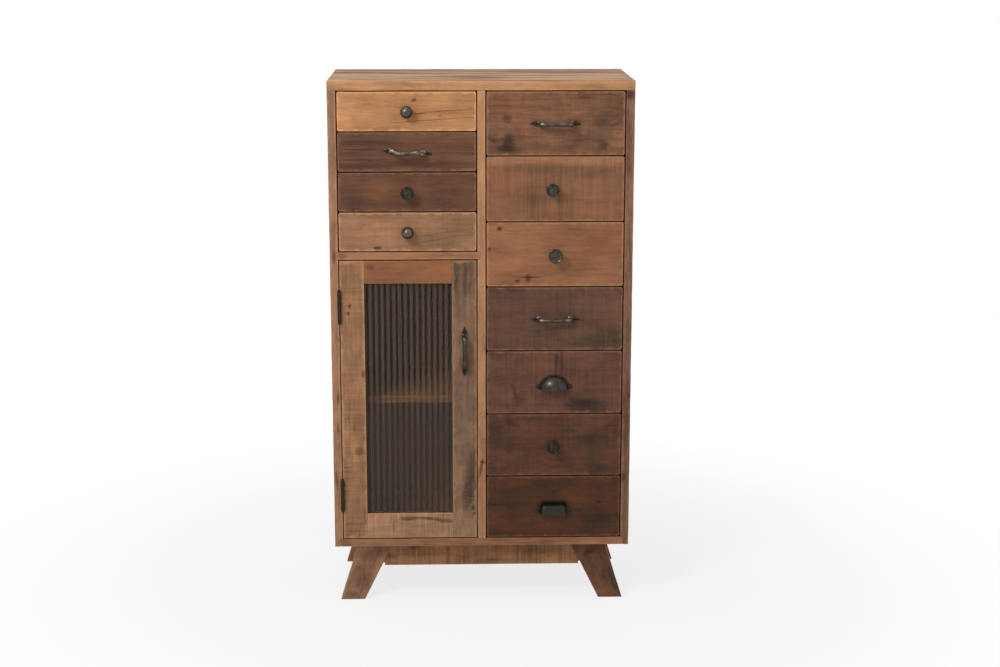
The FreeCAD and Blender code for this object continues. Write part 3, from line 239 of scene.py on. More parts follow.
def pine_figure():
    """Streaks, year rings, fibres, blotches and saw marks of one board."""
    tree, given, out = group("Pine figure", [
        ("Vector", "Vector"), ("Seed", "Float"), ("Dark", "Color"), ("Light", "Color"),
        ("Ring gap", "Float"), ("Rings", "Float"), ("Heart", "Vector"), ("Push", "Float"),
        ("Saw", "Float"), ("Saw gap", "Float"), ("Streak", "Float"), ("Blotch", "Float"),
        ("Grime", "Float")],
        [("Colour", "Color"), ("Height", "Float")])
    away = add(tree, "ShaderNodeVectorMath", [SEED_STEP], operation="SCALE")
    tree.links.new(given["Seed"], away.inputs["Scale"])
    place = add(tree, "ShaderNodeVectorMath", [given["Vector"], away], operation="ADD")

    def cloud(size, detail, roughness=0.55):
        spread = add(tree, "ShaderNodeVectorMath", [place, inverse(size)], operation="MULTIPLY")
        return add(tree, "ShaderNodeTexNoise",
                   {"Vector": spread, "Scale": 1.0, "Detail": detail, "Roughness": roughness})

    def weigh(value, amount, middle=0.5):
        centred = add(tree, "ShaderNodeMath", [value, middle], operation="SUBTRACT")
        return add(tree, "ShaderNodeMath", [centred, amount], operation="MULTIPLY")

    flat = add(tree, "ShaderNodeVectorMath", [given["Vector"], (0, 1, 1)], operation="MULTIPLY")
    from_heart = add(tree, "ShaderNodeVectorMath", [flat, given["Heart"]], operation="SUBTRACT")
    radius = add(tree, "ShaderNodeVectorMath", [from_heart], operation="LENGTH")
    for bend in (weigh(cloud(WANDER_SIZE, 2), RING_WANDER), weigh(cloud(RIPPLE_SIZE, 3), RING_RIPPLE),
                 given["Push"]):
        radius = add(tree, "ShaderNodeMath", [radius, bend], operation="ADD")
    years = add(tree, "ShaderNodeMath", [radius, given["Ring gap"]], operation="DIVIDE")
    season = add(tree, "ShaderNodeMath", [years], operation="FRACT")
    late = add(tree, "ShaderNodeMath", [season, 2.6], operation="POWER")
    faint = weigh(cloud(FAINT_SIZE, 2), 2.4, 0.25)
    late = add(tree, "ShaderNodeMath", [late, given["Rings"]], operation="MULTIPLY")
    late = add(tree, "ShaderNodeMath", [late, faint], operation="MULTIPLY")

    saw_size = add(tree, "ShaderNodeCombineXYZ", [given["Saw gap"], SAW_LENGTH, SAW_LENGTH])
    saw_place = add(tree, "ShaderNodeVectorMath", [place, saw_size], operation="DIVIDE")
    saw_lines = add(tree, "ShaderNodeTexNoise",
                    {"Vector": saw_place, "Scale": 1.0, "Detail": 2.0, "Roughness": 0.6})
    patch = add(tree, "ShaderNodeMapRange", [cloud(SAW_PATCH, 2), 0.36, 0.58, 0.35, 1.0],
                interpolation_type="SMOOTHSTEP")
    saw = add(tree, "ShaderNodeMath", [weigh(saw_lines, 4.2), patch], operation="MULTIPLY")
    saw = add(tree, "ShaderNodeMath", [saw, given["Saw"]], operation="MULTIPLY")

    blotch = weigh(cloud(BLOTCH_SIZE, 5, 0.66), 4.6)
    blotch = add(tree, "ShaderNodeMath", [blotch, given["Blotch"]], operation="MULTIPLY")
    streak = weigh(cloud(STREAK_SIZE, 5, 0.6), 2.0)
    streak = add(tree, "ShaderNodeMath", [streak, given["Streak"]], operation="MULTIPLY")
    smooth = add(tree, "ShaderNodeMath", [given["Saw"], -1.2, 1.0], operation="MULTIPLY_ADD")
    smooth = add(tree, "ShaderNodeMath", [smooth, 0.25], operation="MAXIMUM")
    fibre = weigh(cloud(FIBRE_SIZE, 2), 0.9)
    fibre = add(tree, "ShaderNodeMath", [fibre, smooth], operation="MULTIPLY")
    own_tone = add(tree, "ShaderNodeTexWhiteNoise", {"W": given["Seed"]}, noise_dimensions="1D")
    own_tone = weigh(own_tone, PLANK_TONE)
    pores = add(tree, "ShaderNodeMapRange", [cloud(PORE_SIZE, 2), 0.62, 0.76, 0.0, 0.5],
                interpolation_type="SMOOTHSTEP")
    tone = add(tree, "ShaderNodeMath", [0.62, streak], operation="ADD")
    for part in (fibre, blotch, saw, own_tone):
        tone = add(tree, "ShaderNodeMath", [tone, part], operation="ADD")
    for part in (late, pores):
        tone = add(tree, "ShaderNodeMath", [tone, part], operation="SUBTRACT")
    tone = add(tree, "ShaderNodeMapRange", [tone, -0.25, 1.25, -0.25, 1.25])
    mixed = add(tree, "ShaderNodeMix", {"Factor": tone, "A": given["Dark"], "B": given["Light"]},
                data_type="RGBA", clamp_factor=False)
    dirty = add(tree, "ShaderNodeMapRange", [cloud(GRIME_SIZE, 4, 0.6), 0.50, 0.68, 0.0, 1.0],
                interpolation_type="SMOOTHSTEP")
    dirty = add(tree, "ShaderNodeMath", [dirty, given["Grime"]], operation="MULTIPLY")
    mixed = add(tree, "ShaderNodeMix", {"Factor": dirty, "A": mixed, "B": GRIME},
                data_type="RGBA", blend_type="MULTIPLY")
    height = add(tree, "ShaderNodeMath", [fibre, saw], operation="ADD")
    height = add(tree, "ShaderNodeMath", [height, late], operation="ADD")
    tree.links.new(mixed.outputs[2], out["Colour"])
    tree.links.new(height.outputs[0], out["Height"])
    return tree


def board_spot():
    """One knot, stain, crack or pale patch, as a ragged ellipse that changes the colour under it."""
    tree, given, out = group("Board spot", [
        ("Colour", "Color"), ("Vector", "Vector"), ("Place", "Vector"), ("Turn", "Vector"),
        ("Size", "Vector"), ("Strength", "Float"), ("Tint", "Color"), ("Ragged", "Float"),
        ("Soft", "Float"), ("Rings", "Float"), ("Push", "Float")],
        [("Colour", "Color"), ("Push", "Float")])
    local = add(tree, "ShaderNodeMapping", {
        "Vector": given["Vector"], "Location": given["Place"], "Rotation": given["Turn"],
        "Scale": given["Size"]}, vector_type="TEXTURE")
    grain = add(tree, "ShaderNodeVectorMath", [given["Vector"], inverse((16, 5, 16))],
                operation="MULTIPLY")
    rough = add(tree, "ShaderNodeTexNoise", {"Vector": grain, "Scale": 1.0, "Detail": 3.0})
    rough = add(tree, "ShaderNodeMath", [rough, 0.5], operation="SUBTRACT")
    rough = add(tree, "ShaderNodeMath", [rough, given["Ragged"]], operation="MULTIPLY")
    out_from = add(tree, "ShaderNodeVectorMath", [local], operation="LENGTH")
    distance = add(tree, "ShaderNodeMath", [out_from, rough], operation="ADD")
    inner = add(tree, "ShaderNodeMath", [1.0, given["Soft"]], operation="SUBTRACT")
    outer = add(tree, "ShaderNodeMath", [1.0, given["Soft"]], operation="ADD")
    mask = add(tree, "ShaderNodeMapRange", [distance, inner, outer, 1.0, 0.0],
               interpolation_type="SMOOTHSTEP")
    wave = add(tree, "ShaderNodeMath", [distance, 15.0], operation="MULTIPLY")
    wave = add(tree, "ShaderNodeMath", [wave], operation="COSINE")
    wave = add(tree, "ShaderNodeMath", [wave, given["Rings"]], operation="MULTIPLY")
    wave = add(tree, "ShaderNodeMath", [1.0, wave], operation="SUBTRACT")
    mask = add(tree, "ShaderNodeMath", [mask, wave], operation="MULTIPLY")
    mask = add(tree, "ShaderNodeMath", [mask, given["Strength"]], operation="MULTIPLY")
    tinted = add(tree, "ShaderNodeMix",
                 {"Factor": mask, "A": given["Colour"], "B": given["Tint"]},
                 data_type="RGBA", blend_type="MULTIPLY")
    halo = add(tree, "ShaderNodeMapRange", [out_from, 0.4, 3.2, 1.0, 0.0],
               interpolation_type="SMOOTHSTEP")
    push = add(tree, "ShaderNodeMath", [halo, given["Push"]], operation="MULTIPLY")
    tree.links.new(tinted.outputs[2], out["Colour"])
    tree.links.new(push.outputs[0], out["Push"])
    return tree


def edge_wear():
    """1 along the outer edges of a board and on its rounded edges, in ragged patches."""
    tree, given, out = group("Edge wear", [
        ("Vector", "Vector"), ("Half size", "Vector"), ("Width", "Float")], [("Wear", "Float")])
    size = add(tree, "ShaderNodeVectorMath", [given["Vector"]], operation="ABSOLUTE")
    inside = add(tree, "ShaderNodeVectorMath", [given["Half size"], size], operation="SUBTRACT")
    parts = add(tree, "ShaderNodeSeparateXYZ", [inside])
    nearest = add(tree, "ShaderNodeMath", [parts.outputs["X"], parts.outputs["Y"]],
                  operation="MINIMUM")
    grit = add(tree, "ShaderNodeVectorMath", [given["Vector"], inverse((17, 17, 17))],
               operation="MULTIPLY")
    rough = add(tree, "ShaderNodeTexNoise", {"Vector": grit, "Scale": 1.0, "Detail": 4.0})
    shift = add(tree, "ShaderNodeMath", [rough, 0.5], operation="SUBTRACT")
    shift = add(tree, "ShaderNodeMath", [shift, given["Width"]], operation="MULTIPLY")
    shift = add(tree, "ShaderNodeMath", [shift, 3.0], operation="MULTIPLY")
    ragged = add(tree, "ShaderNodeMath", [nearest, shift], operation="ADD")
    near_edge = add(tree, "ShaderNodeMapRange", [ragged, 0.0, given["Width"], 0.95, 0.0],
                    interpolation_type="SMOOTHSTEP")
    in_front = add(tree, "ShaderNodeMapRange", [parts.outputs["Z"], -9.0, -2.0],
                   interpolation_type="SMOOTHSTEP")
    near_edge = add(tree, "ShaderNodeMath", [near_edge, in_front], operation="MULTIPLY")
    rounded = add(tree, "ShaderNodeAttribute", attribute_name="worn", attribute_type="GEOMETRY")
    patches = add(tree, "ShaderNodeMapRange", [rough, 0.34, 0.56, 0.15, 1.0],
                  interpolation_type="SMOOTHSTEP")
    rubbed = add(tree, "ShaderNodeMath", [rounded.outputs["Fac"], patches], operation="MULTIPLY")
    wear = add(tree, "ShaderNodeMath", [near_edge, rubbed], operation="MAXIMUM")
    tree.links.new(wear.outputs[0], out["Wear"])
    return tree


# What a kind of spot does to the wood under it: the tint that it is multiplied with, how ragged
# and how soft its outline is, how strong its rings are, and how far it pushes the year rings
SPOT_KINDS = {
    "knot": ((0.27, 0.19, 0.16), 0.5, 0.35, 0.22, 7.0),
    "ring": ((1.34, 1.24, 1.08), 0.25, 0.25, 0.28, 12.0),
    "stain": ((0.22, 0.22, 0.20), 1.4, 0.65, 0.0, 0.0),
    "crack": ((0.34, 0.23, 0.18), 1.1, 0.45, 0.0, 0.0),
    "glow": ((1.45, 1.26, 1.02), 1.0, 0.75, 0.0, 0.0),
    "pale": ((1.55, 1.60, 1.62), 1.1, 0.60, 0.0, 0.0),
    "grey": ((0.70, 0.78, 0.82), 1.0, 0.70, 0.0, 0.0),
    "green": ((0.52, 0.66, 0.50), 1.2, 0.70, 0.0, 0.0),
    "red": ((0.92, 0.66, 0.56), 1.0, 0.70, 0.0, 0.0),
}
SPOT_DEPTH = 60
FRONT = Matrix(((1, 0, 0), (0, 0, -1), (0, 1, 0))).to_euler()
GRAIN_TURNS = {"x": (0, 0, 0), "y": (0, math.pi / 2, 0), "z": (0, 0, math.pi / 2)}
NO_EDGE = (1e6, 1e6)


@dataclass
class Look:
    """How one board looks. Spots are (kind, across, up, half width, half height, turn, strength),
    in millimetres from the middle of its front face, and the turn is in degrees."""
    tint: str
    contrast: float = 0.20
    ring_gap: float = 9.0
    rings: float = 0.45
    heart: tuple = (-40, -70)
    saw: float = 0.0
    streak: float = 0.5
    blotch: float = 0.5
    grime: float = 0.35
    wear: float = 0.72
    stretch: float = 1.0
    spots: tuple = ()


def shade(base, factor, warm=0.0):
    """A colour made lighter or darker; warm moves it towards red."""
    red, green, blue, alpha = base
    return (red * factor * (1 + warm), green * factor, blue * factor * (1 - warm), alpha)


def pine(name, look, seed, middle, half=NO_EDGE, grain="x", lean=0.0):
    """Reclaimed pine, sawn, hand planed and oiled.

    The oil gives a dull silky gloss, the planing leaves some saw marks, and the edges are rubbed
    pale. middle is the middle of the board's front face, and half its half width and height."""
    settings = bpy.context.scene.hutch_pine
    sizes = bpy.context.scene.hutch_sizes
    base = tuple(getattr(settings, look.tint))
    material = bpy.data.materials.new(name)
    material.use_nodes = True
    tree = material.node_tree
    tree.nodes.clear()
    object_place = add(tree, "ShaderNodeTexCoord").outputs["Object"]
    face = add(tree, "ShaderNodeMapping", {
        "Vector": object_place, "Location": middle, "Rotation": FRONT, "Scale": (MM, MM, MM)},
        vector_type="TEXTURE")
    turn = GRAIN_TURNS[grain] if grain in GRAIN_TURNS else (0, 0, lean)
    along = add(tree, "ShaderNodeMapping", {
        "Vector": face, "Rotation": turn, "Scale": (look.stretch, 1, 1)}, vector_type="TEXTURE")
    plank = add(tree, "ShaderNodeAttribute", attribute_name="plank", attribute_type="GEOMETRY")
    own_seed = add(tree, "ShaderNodeMath", [plank.outputs["Fac"], 3.7, seed],
                   operation="MULTIPLY_ADD")
    figure = add(tree, "ShaderNodeGroup", node_tree=bpy.data.node_groups["Pine figure"])
    for label, value in {
            "Vector": along.outputs[0], "Seed": own_seed.outputs[0],
            "Dark": shade(base, 1 - DARK_SHARE * look.contrast, 0.02),
            "Light": shade(base, 1 + LIGHT_SHARE * look.contrast),
            "Ring gap": look.ring_gap, "Rings": look.rings, "Heart": (0, *look.heart),
            "Saw": look.saw, "Saw gap": sizes.saw_gap / MM, "Streak": look.streak,
            "Blotch": look.blotch, "Grime": look.grime}.items():
        if isinstance(value, bpy.types.NodeSocket):
            tree.links.new(value, figure.inputs[label])
        else:
            figure.inputs[label].default_value = value
    skin = figure.outputs["Colour"]
    push = None
    for kind, across, up, wide, high, turn_degrees, strength in look.spots:
        spot_tint, ragged, soft, rings, bend = SPOT_KINDS[kind]
        spot = add(tree, "ShaderNodeGroup", node_tree=bpy.data.node_groups["Board spot"])
        values = {"Place": (across, up, 0), "Turn": (0, 0, math.radians(turn_degrees)),
                  "Size": (wide, high, SPOT_DEPTH), "Strength": strength,
                  "Tint": (*spot_tint, 1), "Ragged": ragged, "Soft": soft, "Rings": rings,
                  "Push": bend * strength}
        for label, value in values.items():
            spot.inputs[label].default_value = value
        tree.links.new(skin, spot.inputs["Colour"])
        tree.links.new(face.outputs[0], spot.inputs["Vector"])
        skin = spot.outputs["Colour"]
        if bend:
            push = spot.outputs["Push"] if push is None else add(
                tree, "ShaderNodeMath", [push, spot.outputs["Push"]],
                operation="ADD").outputs[0]
    if push is not None:
        tree.links.new(push, figure.inputs["Push"])
    wear = add(tree, "ShaderNodeGroup", node_tree=bpy.data.node_groups["Edge wear"])
    tree.links.new(face.outputs[0], wear.inputs["Vector"])
    wear.inputs["Half size"].default_value = (*half, 0)
    wear.inputs["Width"].default_value = sizes.wear_width / MM
    rubbed = add(tree, "ShaderNodeMath", [wear.outputs[0], look.wear], operation="MULTIPLY")
    # Where the oil and dirt are worn off, the bare wood shows through
    bare = Vector(shade(base, 1.85, -0.04)).lerp(Vector(settings.box), BARE_SHARE)
    skin = add(tree, "ShaderNodeMix",
               {"Factor": rubbed, "A": skin, "B": tuple(bare)}, data_type="RGBA")
    matt = add(tree, "ShaderNodeMapRange", [figure.outputs["Height"], -0.6, 0.9, 0.54, 0.74])
    relief = add(tree, "ShaderNodeBump", {
        "Strength": 0.55, "Distance": 0.5 * MM, "Height": figure.outputs["Height"]})
    shader = add(tree, "ShaderNodeBsdfPrincipled", {
        "Base Color": skin, "Roughness": matt, "Normal": relief, "Specular IOR Level": 0.30})
    add(tree, "ShaderNodeOutputMaterial", {"Surface": shader})
    return material


def antique_iron():
    """Cast iron, blackened and waxed: nearly black, with a soft gloss, and rubbed brighter where
    hands reach, which the pieces mark in an attribute; on knobs and bows that attribute also
    holds a painted highlight on faces that look up. The black skin is an oxide, so the iron
    under it shows only in part."""
    settings = bpy.context.scene.hutch_fittings
    material = bpy.data.materials.new("Blackened cast iron")
    material.use_nodes = True
    tree = material.node_tree
    tree.nodes.clear()
    place = add(tree, "ShaderNodeTexCoord").outputs["Object"]
    cast = add(tree, "ShaderNodeTexNoise", {"Vector": place, "Scale": 1 / (3.2 * MM), "Detail": 4.0})
    cloud = add(tree, "ShaderNodeTexNoise", {"Vector": place, "Scale": 1 / (9 * MM), "Detail": 3.0})
    # The rubbed attribute: wear where hands reach, and on knobs and bows a painted highlight on faces that
    # look up
    reached = add(tree, "ShaderNodeAttribute", attribute_name="rubbed", attribute_type="GEOMETRY")
    patches = add(tree, "ShaderNodeMapRange", [cloud, 0.34, 0.64, 0.30, 1.0],
                  interpolation_type="SMOOTHSTEP")
    bare = add(tree, "ShaderNodeMath", [reached.outputs["Fac"], patches], operation="MULTIPLY")
    skin = add(tree, "ShaderNodeMix",
               {"Factor": bare, "A": tuple(settings.iron), "B": tuple(settings.iron_rubbed_and_highlight)},
               data_type="RGBA")
    gloss = add(tree, "ShaderNodeMapRange", [cloud, 0.3, 0.7, 0.20, 0.42])
    relief = add(tree, "ShaderNodeBump", {"Strength": 0.35, "Distance": 0.2 * MM, "Height": cast})
    shader = add(tree, "ShaderNodeBsdfPrincipled", {
        "Base Color": skin, "Metallic": 0.85, "Roughness": gloss, "Normal": relief})
    add(tree, "ShaderNodeOutputMaterial", {"Surface": shader})
    return material


def screw_steel():
    """Zinc plated steel, drawn and pressed: a dull grey metal with fine scuffs."""
    material = bpy.data.materials.new("Pressed steel")
    material.use_nodes = True
    tree = material.node_tree
    tree.nodes.clear()
    place = add(tree, "ShaderNodeTexCoord").outputs["Object"]
    scuff = add(tree, "ShaderNodeTexNoise", {"Vector": place, "Scale": 1 / (2.5 * MM), "Detail": 3.0})
    steel = tuple(bpy.context.scene.hutch_fittings.steel)
    skin = add(tree, "ShaderNodeMix", {"Factor": scuff, "A": shade(steel, 0.6), "B": steel},
               data_type="RGBA")
    gloss = add(tree, "ShaderNodeMapRange", [scuff, 0.3, 0.7, 0.34, 0.5])
    shader = add(tree, "ShaderNodeBsdfPrincipled",
                 {"Base Color": skin, "Metallic": 1.0, "Roughness": gloss})
    add(tree, "ShaderNodeOutputMaterial", {"Surface": shader})
    return material


def catch_plastic():
    """Brown ABS, moulded with a fine grain: an even colour and a broad soft gloss."""
    material = bpy.data.materials.new("Moulded ABS")
    material.use_nodes = True
    tree = material.node_tree
    tree.nodes.clear()
    place = add(tree, "ShaderNodeTexCoord").outputs["Object"]
    grain = add(tree, "ShaderNodeTexNoise", {"Vector": place, "Scale": 1 / (1.2 * MM), "Detail": 2.0})
    brown = tuple(bpy.context.scene.hutch_fittings.plastic)
    skin = add(tree, "ShaderNodeMix", {"Factor": grain, "A": shade(brown, 0.85), "B": brown},
               data_type="RGBA")
    relief = add(tree, "ShaderNodeBump", {"Strength": 0.3, "Distance": 0.1 * MM, "Height": grain})
    shader = add(tree, "ShaderNodeBsdfPrincipled",
                 {"Base Color": skin, "Roughness": 0.45, "IOR": 1.54, "Normal": relief})
    add(tree, "ShaderNodeOutputMaterial", {"Surface": shader})
    return material


REEDS = 16
REED_DEPTH = 1.6
REED_STEPS = 10
# Dust on the crests of the reeds, which also paints a highlight along each reed, and an even film low on the
# pane, a painted reflection of the floor
GLASS_DUST_AND_HIGHLIGHT = 0.08
GLASS_LOW_REFLECTION = 0.028


def reeded_glass():
    """Soda-lime glass, rolled between a ribbed and a smooth roller: clear, with the faint waver of
    rolled glass, and a little dust on the crests of the reeds, which also paints a highlight
    along each reed. Lower on the pane an even film is a painted reflection of the floor, and the
    tint of the glass darkens the inside behind it as painted shade. Lamps shine through it, or
    the inside would be black."""
    material = bpy.data.materials.new("Rolled reeded glass")
    material.use_nodes = True
    tree = material.node_tree
    tree.nodes.clear()
    place = add(tree, "ShaderNodeTexCoord").outputs["Object"]
    waver = add(tree, "ShaderNodeTexNoise", {"Vector": place, "Scale": 1 / (18 * MM), "Detail": 2.0})
    relief = add(tree, "ShaderNodeBump", {"Strength": 0.04, "Distance": 0.3 * MM, "Height": waver})
    blur = add(tree, "ShaderNodeMapRange", [waver, 0.3, 0.7, 0.08, 0.16])
    # The tint of the glass darkens the inside behind it, a painted shade
    glass_tint_and_inside_shade = tuple(bpy.context.scene.hutch_fittings.glass)
    shine = bpy.context.scene.hutch_fittings.glass_shine
    low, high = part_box("door_glass")
    reed = add(tree, "ShaderNodeMapping", {
        "Vector": place, "Location": low, "Scale": ((high.x - low.x) / REEDS, 1, high.z - low.z)},
        vector_type="TEXTURE")
    parts = add(tree, "ShaderNodeSeparateXYZ", [reed])
    # Lower on the pane the crests carry less, and the even film there is a painted reflection of the floor
    above = add(tree, "ShaderNodeMapRange", [parts.outputs["Z"], 0.35, 0.60, 0.45, 1.0],
                interpolation_type="SMOOTHSTEP")
    low_reflection = add(tree, "ShaderNodeMapRange", [parts.outputs["Z"], 0.35, 0.60, GLASS_LOW_REFLECTION, 0.0],
               interpolation_type="SMOOTHSTEP")
    across = add(tree, "ShaderNodeMath", [parts.outputs["X"], 1.0], operation="PINGPONG")
    across = add(tree, "ShaderNodeMath", [across, 0.5], operation="SUBTRACT")
    across = add(tree, "ShaderNodeMath", [across], operation="ABSOLUTE")
    # Dust on the crests of the reeds, partly a painted highlight along each reed
    dust_and_sheen = add(tree, "ShaderNodeMapRange", [across, 0.14, 0.40, GLASS_DUST_AND_HIGHLIGHT, 0.0],
               interpolation_type="SMOOTHSTEP")
    dust_and_sheen = add(tree, "ShaderNodeMath", [dust_and_sheen, above, low_reflection], operation="MULTIPLY_ADD")
    clear_share = add(tree, "ShaderNodeMath", [1.0, dust_and_sheen], operation="SUBTRACT")
    pane = add(tree, "ShaderNodeBsdfPrincipled", {
        "Base Color": glass_tint_and_inside_shade, "Roughness": blur, "IOR": 1.52, "Transmission Weight": clear_share,
        "Specular IOR Level": 0.30, "Specular Tint": tuple(shine), "Normal": relief})
    clear = add(tree, "ShaderNodeBsdfTransparent", {"Color": colour("#f2f0ec")})
    shadow = add(tree, "ShaderNodeLightPath").outputs["Is Shadow Ray"]
    both = add(tree, "ShaderNodeMixShader", [shadow, pane, clear])
    add(tree, "ShaderNodeOutputMaterial", {"Surface": both})
    return material


# Meshes

def once(items):
    """Each item once, in the order in which it first comes."""
    return list(dict.fromkeys(items))


def islands(bm):
    """The faces of each separate solid, in the same order at every run."""
    bm.faces.index_update()
    left = set(bm.faces)
    found = []
    while left:
        reached = {left.pop()}
        queue = list(reached)
        while queue:
            face = queue.pop()
            for edge in face.edges:
                for other in edge.link_faces:
                    if other in left:
                        left.discard(other)
                        reached.add(other)
                        queue.append(other)
        found.append(sorted(reached, key=lambda f: f.index))
    return sorted(found, key=lambda faces: faces[0].index)


def span(faces):
    """Lowest and highest corner of some faces."""
    places = [vert.co for face in faces for vert in face.verts]
    low = Vector([min(place[axis] for place in places) for axis in range(3)])
    high = Vector([max(place[axis] for place in places) for axis in range(3)])
    return low, high


def solids(bm):
    """The loose triangles of each solid. They come one solid after another, and a solid is complete
    when each of its edges has been met in both directions."""
    open_edges, found, current = set(), [], []
    for face in bm.faces:
        corners = [tuple(round(value * 1e6) for value in vert.co) for vert in face.verts]
        for start, end in zip(corners, corners[1:] + corners[:1]):
            if (end, start) in open_edges:
                open_edges.remove((end, start))
            else:
                open_edges.add((start, end))
        current.append(face)
        if not open_edges:
            found.append(current)
            current = []
    return found


def copy_of(node, keep=None):
    """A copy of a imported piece's mesh, merged solid by solid, because its boards touch each other;
    keep(middle) says which of its solids to take."""
    bm = bmesh.new()
    bm.from_mesh(NODES[node].data)
    for faces in solids(bm):
        corners = once(vert for face in faces for vert in face.verts)
        bmesh.ops.remove_doubles(bm, verts=corners, dist=0.005 * MM)
    bmesh.ops.dissolve_limit(bm, angle_limit=math.radians(1), verts=bm.verts, edges=bm.edges)
    if keep:
        for faces in islands(bm):
            low, high = span(faces)
            if not keep((low + high) / 2):
                bmesh.ops.delete(bm, geom=faces, context="FACES")
    return bm


def cut_across(bm, axis, step):
    """Cuts the mesh every so far along an axis, so that its faces and edges can be uneven."""
    low, high = span(bm.faces)
    normal = Vector([float(axis == at) for at in range(3)])
    count = max(1, round((high[axis] - low[axis]) / step))
    for number in range(1, count):
        place = low.copy()
        place[axis] = low[axis] + (high[axis] - low[axis]) * number / count
        bmesh.ops.bisect_plane(bm, geom=bm.verts[:] + bm.edges[:] + bm.faces[:], dist=1e-6,
                               plane_co=place, plane_no=normal)


def work_edges(bm, shortest=30 * MM, radius=None):
    """Rounds the long outer edges of boards and marks the new faces as worn."""
    sizes = bpy.context.scene.hutch_sizes
    worn = bm.faces.layers.float.get("worn") or bm.faces.layers.float.new("worn")
    long_edges = [edge for edge in bm.edges
                  if edge.is_manifold and edge.calc_face_angle_signed(0) > math.radians(50)
                  and edge.calc_length() > shortest]
    made = bmesh.ops.bevel(bm, geom=long_edges, offset=radius or sizes.edge_round,
                           offset_type="OFFSET", segments=3, profile=0.5, affect="EDGES",
                           clamp_overlap=False, material=-1)
    for face in made["faces"]:
        face[worn] = 1.0


def weather(bm, seed):
    """Dips the planed faces and dents the rounded edges, always inwards."""
    sizes = bpy.context.scene.hutch_sizes
    worn = bm.faces.layers.float.get("worn")
    bm.normal_update()
    away = Vector((seed * 1.7, seed * 0.9, seed * 2.3))
    moves = []
    for vert in bm.verts:
        dip = sizes.hollow * (0.5 + 0.5 * noise.noise(vert.co * 11 + away))
        if worn and any(face[worn] for face in vert.link_faces):
            dip += sizes.dent * max(0.0, noise.noise(vert.co * 48 + away) + 0.25)
        moves.append((vert, vert.normal * dip))
    for vert, move in moves:
        vert.co -= move


def number_planks(bm):
    """Gives each solid its own number, which the pine's figure reads as another place in the tree,
    and the material whose grain runs along its longest side."""
    plank = bm.faces.layers.float.new("plank")
    for number, faces in enumerate(islands(bm)):
        low, high = span(faces)
        longest = max(range(3), key=lambda axis: high[axis] - low[axis])
        for face in faces:
            face[plank] = number
            face.material_index = longest


def make_piece(name, bm, materials, body, nodes, smooth=40):
    """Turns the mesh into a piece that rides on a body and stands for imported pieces."""
    bmesh.ops.recalc_face_normals(bm, faces=bm.faces)
    for face in bm.faces:
        face.smooth = True
    for edge in bm.edges:
        edge.smooth = edge.calc_face_angle(0) < math.radians(smooth)
    mesh = bpy.data.meshes.new(name)
    bm.to_mesh(mesh)
    bm.free()
    for material in materials:
        mesh.materials.append(material)
    piece = bpy.data.objects.new(name, mesh)
    bpy.context.scene.collection.objects.link(piece)
    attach(piece, body)
    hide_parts(*nodes)
    return piece


def keep_faces_flat(piece):
    """Keeps the broad faces flat beside the rounded edges."""
    flat = piece.modifiers.new("Flat faces", "WEIGHTED_NORMAL")
    flat.keep_sharp = True
    return piece


def body_of(node):
    """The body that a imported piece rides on."""
    return NODES[node]["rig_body"]


def dress(node, material):
    """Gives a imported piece, whose shape is right, its material."""
    packed = NODES[node]
    if not packed.material_slots:
        packed.data.materials.append(material)
    for place in packed.material_slots:
        place.material = material


def board(name, node, look, seed, grain="x", keep=None, edged=True, lean=0.0, glued=1):
    """One board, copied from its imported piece, with worn edges and its own look; glued is how many
    planks it is glued up from, front to back."""
    sizes = bpy.context.scene.hutch_sizes
    bm = copy_of(node, keep)
    low, high = span(bm.faces)
    middle = (low + high) / 2
    half = ((high.x - low.x) / 2 / MM, (high.z - low.z) / 2 / MM) if edged else NO_EDGE
    material = pine("Pine " + name.replace("_", " "), look, seed, (middle.x, low.y, middle.z),
                    half, grain, lean)
    work_edges(bm)
    cut_across(bm, {"x": 0, "y": 1}.get(grain, 2), sizes.cut_step)
    if glued > 1:
        cut_across(bm, 1, (high.y - low.y) / glued)
        plank = bm.faces.layers.float.new("plank")
        for face in bm.faces:
            share = (face.calc_center_median().y - low.y) / (high.y - low.y)
            face[plank] = int(share * glued)
    weather(bm, seed)
    piece = make_piece(name, bm, [material], body_of(node), [node])
    return keep_faces_flat(piece)


def planks(name, node, look, seed, keep=None):
    """Several boards of one kind, each with its own figure along its own grain."""
    sizes = bpy.context.scene.hutch_sizes
    bm = copy_of(node, keep)
    low, high = span(bm.faces)
    middle = (low + high) / 2
    grains = [pine("Pine %s %s" % (name.replace("_", " "), grain), look, seed, middle,
                   grain=grain) for grain in "xyz"]
    number_planks(bm)
    work_edges(bm, radius=0.5 * sizes.edge_round)
    weather(bm, seed)
    piece = make_piece(name, bm, grains, body_of(node), [node])
    return keep_faces_flat(piece)


def turned(bm, profile, centre, steps=56):
    """Spins a profile of (radius, height out of the front) about an axis that leaves the front."""
    verts = [bm.verts.new(centre + Vector((radius * MM, -height * MM, 0)))
             for radius, height in profile]
    edges = [bm.edges.new(pair) for pair in zip(verts, verts[1:])]
    made = bmesh.ops.spin(bm, geom=verts + edges, cent=centre, axis=(0, 1, 0), dvec=(0, 0, 0),
                          angle=2 * math.pi, steps=steps, use_merge=True)
    bmesh.ops.remove_doubles(bm, verts=bm.verts, dist=0.01 * MM)
    return made


def arc(centre, radius, first, last, steps):
    """Points of a round stretch of a profile, as (radius, height)."""
    angles = [math.radians(first + (last - first) * step / steps) for step in range(steps + 1)]
    return [(centre[0] + radius * math.cos(angle), centre[1] + radius * math.sin(angle))
            for angle in angles]


def bolt_behind(bm, x, z):
    """The head of the machine screw behind a front."""
    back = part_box("left_drawer_1_front")[1].y
    profile = [(0, 0), (4.2, 0), (4.2, -1.6), (3.2, -2.4), (1.4, -2.4), (1.2, -1.5), (0, -1.5)]
    turned(bm, profile, Vector((x, back, z)), 24)
